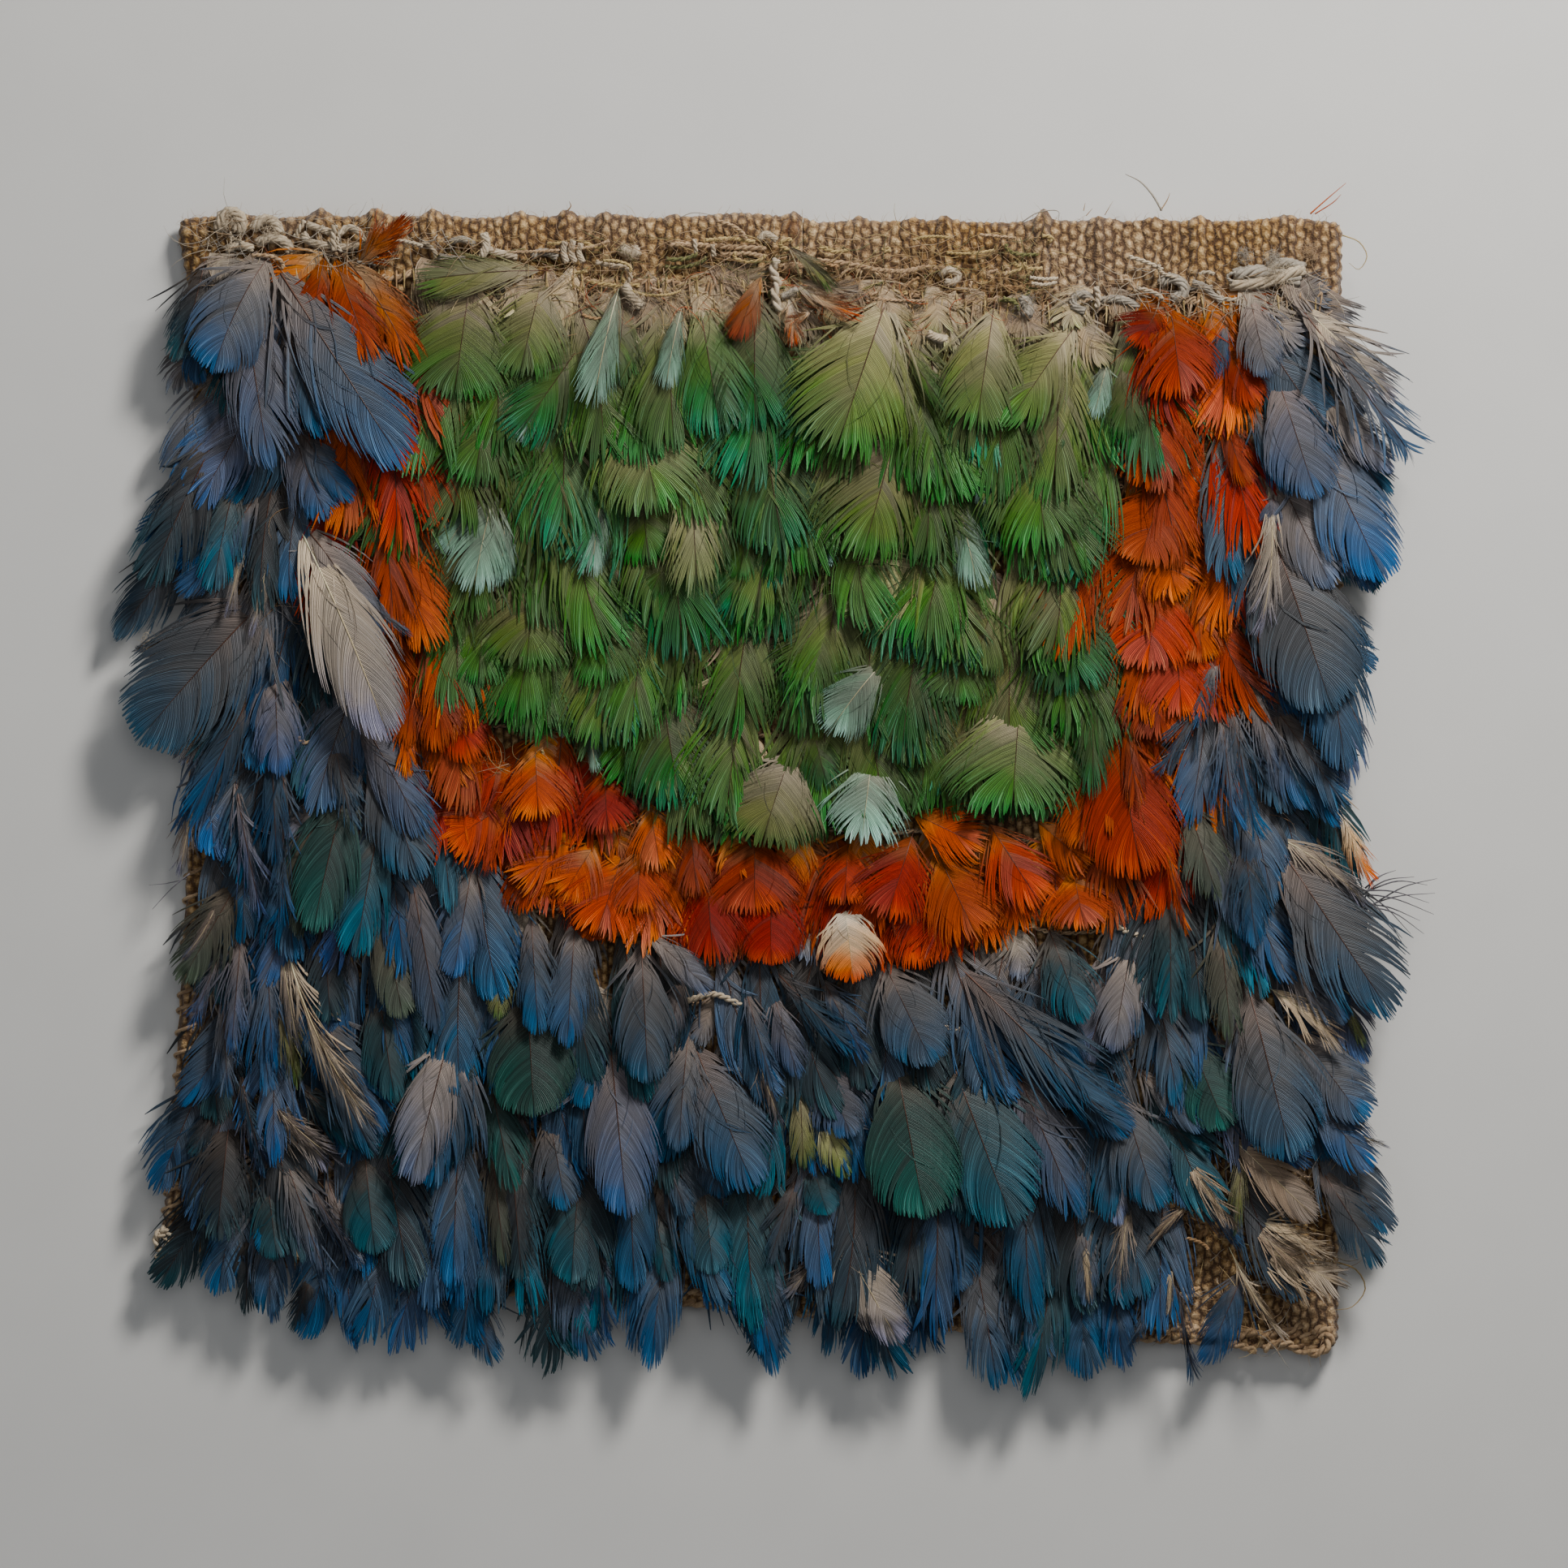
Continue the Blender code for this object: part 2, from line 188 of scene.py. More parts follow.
# %% [markdown]
# ## Measuring the laid cloth
# Everything lies on the front panel, so its form is measured once with rays: its
# four edges, and the height of its face on a fine grid. The cloth, the cords and the
# feathers all read those measures, and so they fit the CAD model wherever it goes.

# %% Rays on the front panel
HEIGHT_STEP = 0.8 * MM
FIELD_X = np.arange(-96 * MM, 98 * MM, HEIGHT_STEP)
FIELD_Y = np.arange(-100 * MM, 90 * MM, HEIGHT_STEP)
FRONT_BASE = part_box("front_panel")[0].z
FRONT_TOP = 2.9 * MM
SLIT_X = 6.2 * MM
SLIT_DEEP = 23.5 * MM
SLIT_SKIPPED = 1.1 * MM
SKIM = 0.1 * MM
CREST_INSET = (2.5 * MM, 1.2 * MM)
SIDES_BETWEEN = (-64 * MM, 72 * MM)
RAYS_FROM = 0.2
LEAST_FACE = 0.8 * MM


def tree_of(name):
    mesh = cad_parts[name].data
    return BVHTree.FromPolygons(
        [vert.co for vert in mesh.vertices], [face.vertices for face in mesh.polygons]
    )


cloth_rays = tree_of("front_panel")


def edge_at(start, direction, axis):
    """Where a ray along the table first meets the front panel."""
    hit = cloth_rays.ray_cast(Vector(start), Vector(direction))[0]
    return hit[axis] if hit else None


def measure_edges():
    low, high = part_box("front_panel")
    skim = FRONT_BASE + SKIM
    across = np.linspace(low.x + CREST_INSET[0], high.x - CREST_INSET[1], 321)
    up = np.linspace(*SIDES_BETWEEN, 121)
    crest, hem = (
        np.array([edge_at((x, side * RAYS_FROM, skim), (0, -side, 0), 1) for x in across])
        for side in (1, -1)
    )
    left, right = (
        np.array([edge_at((side * RAYS_FROM, y, skim), (-side, 0, 0), 0) for y in up])
        for side in (-1, 1)
    )
    return across, crest, hem, up, left, right


def reader(places, measured):
    """A function that reads a measured edge at any place along it."""
    return lambda at: np.interp(at, places, measured)


EDGE_X, CREST, HEM, EDGE_Y, LEFT, RIGHT = measure_edges()
at_slit = np.abs(EDGE_X - SLIT_X) < SLIT_SKIPPED
CREST[at_slit] = np.interp(EDGE_X[at_slit], EDGE_X[~at_slit], CREST[~at_slit])
crest_y, hem_y = reader(EDGE_X, CREST), reader(EDGE_X, HEM)
left_x, right_x = reader(EDGE_Y, LEFT), reader(EDGE_Y, RIGHT)


def measure_heights():
    field = np.full((len(FIELD_X), len(FIELD_Y)), FRONT_TOP)
    for i, x in enumerate(FIELD_X):
        for j, y in enumerate(FIELD_Y):
            hit = cloth_rays.ray_cast(Vector((x, y, 0.05)), Vector((0, 0, -1)))[0]
            if hit and hit.z > FRONT_BASE + LEAST_FACE:
                field[i, j] = hit.z
    slit = np.abs(FIELD_X - SLIT_X) < SLIT_SKIPPED
    for j in range(len(FIELD_Y)):
        field[slit, j] = np.interp(FIELD_X[slit], FIELD_X[~slit], field[~slit, j])
    return field


HEIGHTS = measure_heights()


def cloth_top(x, y):
    """Height of the front's face, and beyond its edges the height that it has inside."""
    i = np.clip((np.asarray(x) - FIELD_X[0]) / HEIGHT_STEP, 0, len(FIELD_X) - 1.001)
    j = np.clip((np.asarray(y) - FIELD_Y[0]) / HEIGHT_STEP, 0, len(FIELD_Y) - 1.001)
    i0, j0 = i.astype(int), j.astype(int)
    u, v = i - i0, j - j0
    low = HEIGHTS[i0, j0] * (1 - u) + HEIGHTS[i0 + 1, j0] * u
    high = HEIGHTS[i0, j0 + 1] * (1 - u) + HEIGHTS[i0 + 1, j0 + 1] * u
    return low * (1 - v) + high * v


print("cloth width at mid height in mm:", round(float(right_x(0) - left_x(0)) / MM, 1),
      "face from", round(HEIGHTS.min() / MM, 2), "to", round(HEIGHTS.max() / MM, 2))

# %% [markdown]
# ## Small tools for many small things
# Feathers, plies and fibres are copies of a few templates. A template is made once
# with bmesh operators: a ribbon sheet for a vane, and a subdivided cylinder for
# anything round. Each copy is a template whose vertices numpy has moved into the
# copy's own shape, and bmesh joins the copies into one piece. Two attributes go
# with every vertex for the materials: "plume" says where on the feather it is, and
# "chance" holds random numbers of the feather, of its lock and of its barb.

# %% Templates


def smooth(share):
    share = np.clip(share, 0.0, 1.0)
    return share * share * (3.0 - 2.0 * share)


def template_from(bm, name):
    """Keep a bmesh as a mesh with the layers that every copy fills in."""
    bmesh.ops.recalc_face_normals(bm, faces=bm.faces[:])
    mesh = mesh_from(bm, name)
    mesh.uv_layers.new(name="OFBake")
    for name in ("plume", "chance"):
        mesh.attributes.new(name, "FLOAT_VECTOR", "POINT")
    mesh.polygons.foreach_set("use_smooth", np.ones(len(mesh.polygons), bool))
    places = np.empty(len(mesh.vertices) * 3)
    mesh.vertices.foreach_get("co", places)
    corners = np.empty(len(mesh.loops), np.int32)
    mesh.loops.foreach_get("vertex_index", corners)
    return {"mesh": mesh, "co": places.reshape(-1, 3), "corners": corners}


def tube_template(sides, steps):
    """A closed cylinder along z, cut into even steps."""
    bm = bmesh.new()
    bmesh.ops.create_cone(bm, cap_ends=True, segments=sides, radius1=1.0, radius2=1.0, depth=1.0)
    long_edges = [e for e in bm.edges if abs(e.verts[0].co.z - e.verts[1].co.z) > 0.5]
    bmesh.ops.subdivide_edges(bm, edges=long_edges, cuts=steps - 1)
    made = template_from(bm, f"tube_{sides}_{steps}")
    made["step"] = np.rint((made["co"][:, 2] + 0.5) * steps).astype(int)
    made["steps"] = steps
    angle = np.arctan2(made["co"][:, 1], made["co"][:, 0]) / math.tau + 0.5
    made["uv"] = np.stack([angle, made["step"] / steps], 1)
    return made


def vane_template(barbs, steps):
    """Two rows of separate ribbons, one for each barb, from a grid with gaps."""
    columns = 4 * barbs
    bm = bmesh.new()
    bmesh.ops.create_grid(bm, x_segments=columns - 1, y_segments=steps, size=0.5)
    gaps = []
    for face in bm.faces:
        low = min(vert.co.x for vert in face.verts)
        if round((low + 0.5) * (columns - 1)) % 2:
            gaps.append(face)
    bmesh.ops.delete(bm, geom=gaps, context="FACES")
    made = template_from(bm, f"vane_{barbs}_{steps}")
    column = np.rint((made["co"][:, 0] + 0.5) * (columns - 1)).astype(int)
    ribbon = column // 2
    made["barbs"] = barbs
    made["ribbon"] = ribbon
    made["barb"] = ribbon % barbs
    made["side"] = np.where(ribbon < barbs, -1.0, 1.0)
    made["edge"] = np.where(column % 2, 1.0, -1.0) * made["side"]
    made["v"] = np.rint((made["co"][:, 1] + 0.5) * steps) / steps
    made["uv"] = np.stack(
        [(ribbon + 0.5 + 0.42 * made["edge"]) / (2 * barbs), 0.02 + 0.88 * made["v"]], 1
    )
    return made


FINE_VANE = vane_template(38, 6)
PLAIN_VANE = vane_template(28, 5)
DOWN_VANE = vane_template(18, 4)
QUILL = tube_template(4, 8)
THREAD = tube_template(4, 12)
FIBRE = tube_template(3, 6)
print("faces in a fine vane:", len(FINE_VANE["mesh"].polygons),
      "in a quill:", len(QUILL["mesh"].polygons))

# %% [markdown]
# A piece gathers its copies in a bmesh. Each copy gets a cell of its own in the UV
# map, so that no two feathers share a place in it: the cell's number is kept in the
# whole part of U, and closing the piece turns it into a place.

# %% Gathering copies into a piece


class Gather:
    """A piece in the making: joined copies, their finishes and their cells."""

    def __init__(self, name):
        self.name = name
        self.bm = bmesh.new()
        self.finishes = []
        self.cells = 0

    def add(self, template, places, finish, plume, chance, uv, new_cell=True):
        mesh = template["mesh"]
        if finish not in self.finishes:
            self.finishes.append(finish)
        if new_cell:
            self.cells += 1
        mesh.vertices.foreach_set("co", np.ascontiguousarray(places, np.float32).ravel())
        for name, numbers in (("plume", plume), ("chance", chance)):
            mesh.attributes[name].data.foreach_set("vector", numbers.astype(np.float32).ravel())
        cell_uv = uv[template["corners"]] * (0.96, 0.96) + (0.02 + self.cells - 1, 0.02)
        mesh.uv_layers["OFBake"].data.foreach_set("uv", cell_uv.astype(np.float32).ravel())
        index = np.full(len(mesh.polygons), self.finishes.index(finish), np.int32)
        mesh.polygons.foreach_set("material_index", index)
        self.bm.from_mesh(mesh)

    def place_cells(self, layer):
        """Turn each cell's number into its place in a square of cells."""
        uv = np.empty(len(layer) * 2, np.float32)
        layer.foreach_get("uv", uv)
        uv = uv.reshape(-1, 2)
        side = math.ceil(math.sqrt(self.cells))
        cell = np.floor(uv[:, 0])
        uv[:, 0] = (uv[:, 0] - cell + cell % side) / side
        uv[:, 1] = (uv[:, 1] + np.floor(cell / side)) / side
        layer.foreach_set("uv", uv.ravel())

    def close(self, slot, keep_map=True):
        mesh = mesh_from(self.bm, self.name)
        for finish in self.finishes:
            mesh.materials.append(finish)
        if keep_map:
            self.place_cells(mesh.uv_layers["OFBake"].data)
        else:
            mesh.uv_layers.remove(mesh.uv_layers["OFBake"])
        piece = into_scene(self.name, mesh)
        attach(piece, "root")
        return piece


def directions(line):
    """Forward and across, at each point of a line; across isn't yet one long, so its length too."""
    forward = np.gradient(line, axis=0)
    forward /= np.linalg.norm(forward, axis=1, keepdims=True) + 1e-12
    across = np.cross(forward, (0.0, 0.0, 1.0))
    return forward, across, np.linalg.norm(across, axis=1, keepdims=True)


def sweep(template, path, radius):
    """Vertices of a tube template laid along a path, with a radius at each of its points."""
    steps = template["steps"]
    share = np.linspace(0, 1, steps + 1)
    known = np.linspace(0, 1, len(path))
    line = np.stack([np.interp(share, known, path[:, k]) for k in range(3)], 1)
    size = np.interp(share, np.linspace(0, 1, len(radius)), radius)
    forward, across, length = directions(line)
    across = np.where(length > 0.05, across / np.maximum(length, 1e-6), (1.0, 0.0, 0.0))
    up = np.cross(across, forward)
    step = template["step"]
    ring = template["co"]
    return (
        line[step]
        + across[step] * (ring[:, :1] * size[step, None])
        + up[step] * (ring[:, 1:2] * size[step, None])
    )


def curve_through(points, count):
    """A smooth line through a few points (Catmull-Rom)."""
    points = np.asarray(points, float)
    if len(points) < 3:
        share = np.linspace(0, 1, count)[:, None]
        return points[0] * (1 - share) + points[-1] * share
    padded = np.vstack([2 * points[0] - points[1], points, 2 * points[-1] - points[-2]])
    at = np.linspace(0, len(points) - 1.0001, count)
    k = at.astype(int)
    t = (at - k)[:, None]
    p0, p1, p2, p3 = padded[k], padded[k + 1], padded[k + 2], padded[k + 3]
    return 0.5 * (
        2 * p1 + (p2 - p0) * t + (2 * p0 - 5 * p1 + 4 * p2 - p3) * t**2
        + (3 * p1 - p0 - 3 * p2 + p3) * t**3
    )


def along_tube(template):
    """The "plume" of anything round: only its first number counts, the share of its length."""
    along = template["step"] / template["steps"]
    return np.stack([along, np.zeros(len(along)), np.zeros(len(along))], 1)


# %% [markdown]
# ## Plumage
# A body feather is downy and dull at its root, where the row above covers it, and
# gets its strong colour towards the tip. Its barbs lie side by side as fine lines. So
# each kind of plumage has four colours from root to tip, blended by "plume". A wave
# across each ribbon draws the barbs in it: it gives them relief, and painted shade
# darkens the gaps between them. "chance" makes feathers, locks and ribbons differ a
# little. Feathers shine softly, which a low sheen gives.

# %% Plumage finishes
PLUMAGE = {
    # kind: colours at the root, in the middle, further out and at the tip (display values)
    "slate": ((124, 112, 104), (90, 92, 98), (68, 84, 106), (42, 82, 118)),
    # a darker copy of slate: partly its own colour, partly painted shade where blue feathers lie in
    # shadow
    "slate_dark": ((84, 76, 70), (60, 62, 66), (44, 58, 68), (32, 66, 78)),
    "steel": ((122, 110, 104), (80, 90, 106), (54, 84, 120), (30, 84, 134)),
    "violet": ((128, 116, 112), (100, 100, 112), (82, 92, 120), (58, 88, 136)),
    "deep_blue": ((96, 88, 84), (54, 70, 88), (36, 70, 106), (24, 74, 120)),
    "teal": ((102, 94, 86), (58, 80, 88), (36, 82, 100), (18, 92, 114)),
    "teal_green": ((88, 86, 76), (48, 72, 70), (34, 80, 76), (26, 92, 86)),
    "pale": ((190, 172, 150), (156, 142, 128), (134, 126, 122), (112, 112, 130)),
    "mauve": ((166, 150, 138), (134, 126, 124), (112, 114, 126), (88, 102, 134)),
    "olive_grey": ((118, 108, 92), (94, 94, 82), (82, 90, 80), (78, 94, 78)),
    "green": ((162, 150, 118), (98, 112, 62), (60, 102, 38), (42, 108, 48)),
    "olive": ((170, 156, 122), (114, 116, 72), (80, 104, 46), (52, 102, 44)),
    "emerald": ((138, 134, 100), (72, 98, 46), (40, 98, 48), (30, 108, 74)),
    "mint": ((156, 162, 138), (136, 162, 142), (146, 192, 170), (164, 210, 196)),
    "pale_olive": ((190, 178, 146), (152, 150, 108), (118, 126, 76), (82, 112, 58)),
    "orange": ((174, 98, 34), (168, 62, 1), (176, 66, 0), (190, 82, 2)),
    "red": ((176, 86, 26), (178, 44, 1), (188, 48, 0), (200, 72, 5)),
    "dark_red": ((140, 68, 24), (140, 34, 1), (152, 36, 0), (168, 50, 2)),
    "coral": ((206, 126, 62), (196, 72, 10), (204, 74, 4), (218, 104, 26)),
    "peach": ((236, 218, 194), (230, 192, 150), (216, 132, 84), (202, 84, 34)),
    "down": ((206, 184, 152), (190, 168, 136), (166, 152, 116), (134, 134, 92)),
    "grey_down": ((184, 166, 144), (152, 140, 128), (118, 114, 116), (88, 96, 112)),
    "cream": ((208, 188, 160), (192, 172, 144), (178, 160, 136), (158, 146, 132)),
    "warm_down": ((192, 150, 106), (186, 110, 52), (178, 80, 16), (180, 68, 6)),
}
WARM = ("orange", "red", "dark_red", "coral", "peach", "warm_down")
GLINT_SHARE = {True: 0.2, False: 0.26}
RAMP_PLACES = (0.1, 0.48, 0.8, 1.0)
QUILLS = {"quill_dark": (72, 44, 32), "quill_pale": (206, 188, 146)}
PALE_QUILLED = ("pale", "peach", "mint", "cream")
BARBS_IN_RIBBON = 3
# each pair: how much of a random number or ridge is taken, and what is added to it
LOCK_SHIFT = (0.16, -0.08)
MOTTLE_SHIFT, RIM_SHIFT, ROOT_SHIFT = 0.22, 0.1, 0.14
# painted shade in the gaps between the barbs, from the ridge across each ribbon
BARB_GAP_SHADE = (0.8, 0.34)
BARB_VALUE, RIBBON_VALUE = (0.6, 0.66), (0.18, 0.91)
FEATHER_VALUE, LOCK_VALUE = (0.72, 0.76), (0.4, 0.82)
LOCK_SATURATION = (0.24, 0.9)
GLINTS = (4.0, -3.1)
SEED_STEP = 311.0


def paint(display):
    """Scene-linear colour from display values of 0 to 255."""
    shares = [value / 255 for value in display]
    linear = [v / 12.92 if v <= 0.04045 else ((v + 0.055) / 1.055) ** 2.4 for v in shares]
    return (*linear, 1.0)


def math_node(operation, a, b=None, c=None):
    """A Math node beside socket a; each of b and c is a number or a socket."""
    made = node(a.id_data, "Math", operation=operation)
    for socket, value in zip(made.inputs, (a, b, c)):
        if value is not None:
            feed(socket, value)
    return made.outputs[0]


def scaled(value, factor, plus):
    """A socket times a factor, plus a number or another socket."""
    return math_node("MULTIPLY_ADD", value, factor, plus)


def product(first, *others):
    for other in others:
        first = math_node("MULTIPLY", first, other)
    return first


def ramp_colour(share, places, colours, interpolation="LINEAR"):
    """Colour from a ramp with display values at its places."""
    made = node(share.id_data, "ValToRGB", Fac=share)
    ramp = made.color_ramp
    ramp.interpolation = interpolation
    while len(ramp.elements) < len(places):
        ramp.elements.new(0.5)
    for stop, place, colour in zip(ramp.elements, places, colours):
        stop.position = place
        stop.color = paint(colour)
    return made.outputs["Color"]


def mixed(share, first, second):
    """One colour at a share of 0 and another at 1."""
    made = node(share.id_data, "Mix", data_type="RGBA")
    for k, value in ((0, share), (6, first), (7, second)):
        feed(made.inputs[k], value)
    return made.outputs[2]


def tinted(colour, **changes):
    return node(colour.id_data, "HueSaturation", Color=colour, **changes).outputs["Color"]


def random_of(number, socket="W", dimensions="1D"):
    """A random number that stays the same for the same whole number or numbers."""
    made = node(number.id_data, "TexWhiteNoise", noise_dimensions=dimensions, **{socket: number})
    return made.outputs["Value"]


def finish_with(shader, colour, height, strength, distance):
    """Give a material its colour and its fine relief."""
    bump = node(shader.id_data, "Bump", Strength=strength, Distance=distance, Height=height)
    feed(shader.inputs["Base Color"], colour)
    feed(shader.inputs["Normal"], bump.outputs["Normal"])


def channels(tree, name):
    """The three numbers of a vertex attribute."""
    read = node(tree, "Attribute", attribute_name=name)
    return node(tree, "SeparateXYZ", Vector=read.outputs["Vector"]).outputs


def plumage_finish(kind):
    material, tree, shader = new_finish(
        "plumage_" + kind, Roughness=0.52, Specular_IOR_Level=0.12 if kind in WARM else 0.24,
        Sheen_Weight=0.02 if kind in WARM else 0.04, Sheen_Roughness=0.35,
    )
    first_hue, hue_range = (0.494, 0.012) if kind in WARM else (0.482, 0.024)
    along, out, barb_count = channels(tree, "plume")
    feather, lock, barb = channels(tree, "chance")
    shift = scaled(lock, *LOCK_SHIFT)
    shift = scaled(object_noise(tree, 420.0, 3.0), MOTTLE_SHIFT, shift)
    shift = scaled(out, RIM_SHIFT, shift)
    at = math_node("ADD", along, math_node("SUBTRACT", shift, ROOT_SHIFT))
    colour = ramp_colour(at, RAMP_PLACES, PLUMAGE[kind], "EASE")

    # a ridge across each ribbon: relief for the barbs, and painted shade in the gaps between them
    wave = product(barb_count, math.tau * BARBS_IN_RIBBON)
    ridge = scaled(math_node("COSINE", wave), -0.5, 0.5)
    number = math_node("FLOOR", product(barb_count, BARBS_IN_RIBBON))
    one_barb = random_of(scaled(lock, SEED_STEP, number))
    bright = math_node("MAXIMUM", scaled(one_barb, *GLINTS), 0.0)
    share = GLINT_SHARE[kind in WARM]
    glint = paint([v + share * (255 - v) for v in PLUMAGE[kind][3]])
    colour = mixed(product(bright, out, along), colour, glint)
    value = product(
        scaled(one_barb, *BARB_VALUE), scaled(barb, *RIBBON_VALUE),
        scaled(feather, *FEATHER_VALUE), scaled(lock, *LOCK_VALUE), scaled(ridge, *BARB_GAP_SHADE),
    )
    hue, saturation = scaled(feather, hue_range, first_hue), scaled(lock, *LOCK_SATURATION)
    colour = tinted(colour, Hue=hue, Saturation=saturation, Value=value)
    finish_with(shader, colour, ridge, 0.6, 0.06 * MM)
    return material


def quill_finish(name):
    material, tree, shader = new_finish(name, Roughness=0.35, Specular_IOR_Level=0.5)
    pale = [min(255, v * 1.5) for v in QUILLS[name]]
    along = channels(tree, "plume")[0]
    colour = ramp_colour(along, (0.0, 0.45), (pale, QUILLS[name]))
    feed(shader.inputs["Base Color"], colour)
    return material


FINISH = {kind: plumage_finish(kind) for kind in PLUMAGE}
FINISH.update({name: quill_finish(name) for name in QUILLS})
print("plumage finishes:", len(FINISH))

# %% [markdown]
# ## One feather
# The shaft curves a little. Barbs leave it on both sides and end on the vane's
# outline, all given in the feather's own plane. On long feathers they slant far towards
# the tip and hug the rim; on round ones they fan out to it. A ribbon stands for a few
# barbs that hold together; its neighbours lie over its edges, so that the vane is
# closed, and it narrows at the rim. Ribbons hang together in locks. Each lock turns,
# lifts and closes up by its own amount, which opens the splits that worn feathers
# have, and the lowest ribbons are loose down. The vane arches across, and the whole
# feather rises from its root over the row below.

# %% The form of a vane
FIRST_BARB = 0.05
# each pair: for a long vane whose barbs hug its rim, and for a round one whose barbs fan out
LAST_BARB = (0.86, 0.68)
LOWEST_SWEEP = (0.56, 0.62)
TIP_SWEEP = (0.135, 0.31)
RIM_EASE = (1.75, 1.3)
RIM_FROM = (0.74, 0.62)
RIM_NARROWS = (0.9, 1.1)
CLOSED_FROM = 0.74
SWEEP_EASE = 0.85
WIDEST = 1.15
ROUNDNESS = 2.3
DOWN_SHARE = 0.15
SAW = 0.028 * MM
# how unevenly locks and barbs lie, and how much more so on a loose or a fanned vane
LOCK_TURN, LOOSE_LOCK_TURN, FANNED_TURNS_LESS = 0.02, 0.13, 0.08
BARB_TURN, FANNED_BARB_TURN, LOOSE_BARB_TURN = 0.008, 0.012, 0.06
LOCK_LIFT, LOOSE_LOCK_LIFT = 0.12, 0.32
LOCK_LENGTH, LOOSE_LOCK_LENGTH = 0.015, 0.06
BARB_LENGTH, FANNED_BARB_LENGTH, LOOSE_BARB_LENGTH = 0.011, 0.014, 0.05
DOWN_TURN, DOWN_LENGTH = (0.1, 0.25), (0.5, 1.05)
RIBBON_FILL = 1.26
LOCK_ARCH = 0.22 * MM
CLIMB = 0.165
CLIMB_EASE = 0.6
BLADE_LIFT = 0.65 * MM
SIDE_DROOP = 2.0 * MM
SIDE_DROOP_FROM = 77.0 * MM
SIDE_DROOP_OVER = 18.0 * MM
HEM_DROOP = 1.8 * MM
HEM_DROOP_OVER = 12.0 * MM
CLEAR_OF_CLOTH = 0.25 * MM
CLEAR_OF_FLOOR = 0.7 * MM


def outline(along, point):
    """Half width of the vane, as a share of its widest, at a share of its length."""
    u = np.clip((along - 0.03) / 0.98, 0, 1) ** WIDEST
    round_end = np.sqrt(np.clip(1 - np.abs(2 * u - 1) ** ROUNDNESS, 0, 1))
    return round_end * (1 - point * smooth((along - 0.42) / 0.58))


def lock_plan(barbs, ragged, fan, draw):
    """How the barbs of one side hold together in locks, barb by barb."""
    count = 3 + int(11 * ragged)
    cuts = np.unique(draw.integers(1, barbs - 1, size=count))
    index = np.arange(barbs)
    lock = np.searchsorted(cuts, index, side="right")
    starts = np.concatenate([[0], cuts])[lock]
    ends = np.concatenate([cuts, [barbs]])[lock]
    middle = (starts + ends - 1) / 2
    inside = 2 * (index - middle) / (ends - starts)
    loose = ragged**1.5
    locks = lock.max() + 1
    turn_more = (LOOSE_LOCK_TURN - FANNED_TURNS_LESS * fan) * loose
    turn = draw.normal(0, LOCK_TURN + turn_more, locks)[lock]
    turn += draw.normal(0, BARB_TURN + FANNED_BARB_TURN * fan + LOOSE_BARB_TURN * loose, barbs)
    lift = draw.normal(0, LOCK_LIFT + LOOSE_LOCK_LIFT * loose, locks)[lock] * MM
    length = 1 + draw.normal(0, LOCK_LENGTH + LOOSE_LOCK_LENGTH * loose, locks)[lock]
    length += draw.normal(0, BARB_LENGTH + FANNED_BARB_LENGTH * fan + LOOSE_BARB_LENGTH * loose, barbs)
    down = index < DOWN_SHARE * barbs
    turn = np.where(down, turn + draw.normal(*DOWN_TURN, barbs), turn)
    length = np.where(down, length * draw.uniform(*DOWN_LENGTH, barbs), length)
    return middle, inside, turn, lift, length, draw.random(locks)[lock], draw.random(barbs)


def vane_plane(template, feather, draw):
    """Places in the feather's plane: across and along the shaft, and above it."""
    n = template["barbs"]
    plans = [lock_plan(n, feather["ragged"], feather["fan"], draw) for _ in range(2)]
    middle, inside, turn, lift, length, lock_chance, barb_chance = (
        np.concatenate(pair)[template["ribbon"]] for pair in zip(*plans)
    )
    v, edge, side = template["v"], template["edge"], template["side"]
    centre = (template["barb"] + 0.5) / n
    pinch = feather["pinch"]
    centre = centre + ((middle + 0.5) / n - centre) * pinch * v**1.6
    last_barb, lowest, tip_sweep, ease, rim_from, narrows = (
        pair[0] + (pair[1] - pair[0]) * feather["fan"]
        for pair in (LAST_BARB, LOWEST_SWEEP, TIP_SWEEP, RIM_EASE, RIM_FROM, RIM_NARROWS)
    )
    rim = smooth((v - rim_from) / (1 - rim_from))
    fill = RIBBON_FILL - narrows * rim - (0.1 + 0.35 * feather["ragged"]) * pinch * v
    tau = centre + edge * fill / (2 * n)
    root = FIRST_BARB + (last_barb - FIRST_BARB) * tau
    reach = tip_sweep + (lowest - tip_sweep) * np.clip(1 - tau, 0, 1) ** SWEEP_EASE
    half = feather["width"] / 2
    tip_x = outline(root + reach, feather["point"]) * half
    tip_x *= 1 - 0.97 * smooth((tau - CLOSED_FROM) / (1 - CLOSED_FROM)) ** 1.4
    out = tip_x * (1 - (1 - v) ** ease) * length
    ahead = reach * feather["length"] * v**1.12 * length
    swing = turn * v
    across = out * np.cos(swing) - ahead * np.sin(swing)
    along = root * feather["length"] + out * np.sin(swing) + ahead * np.cos(swing)
    above = (
        -feather["arch"] * (across / half) ** 2
        - edge * SAW
        + lift * v**2
        + LOCK_ARCH * v * (1 - inside**2)
    )
    random = np.stack([np.full(len(v), feather["chance"]), lock_chance, barb_chance], 1)
    return across * side, along, above, random


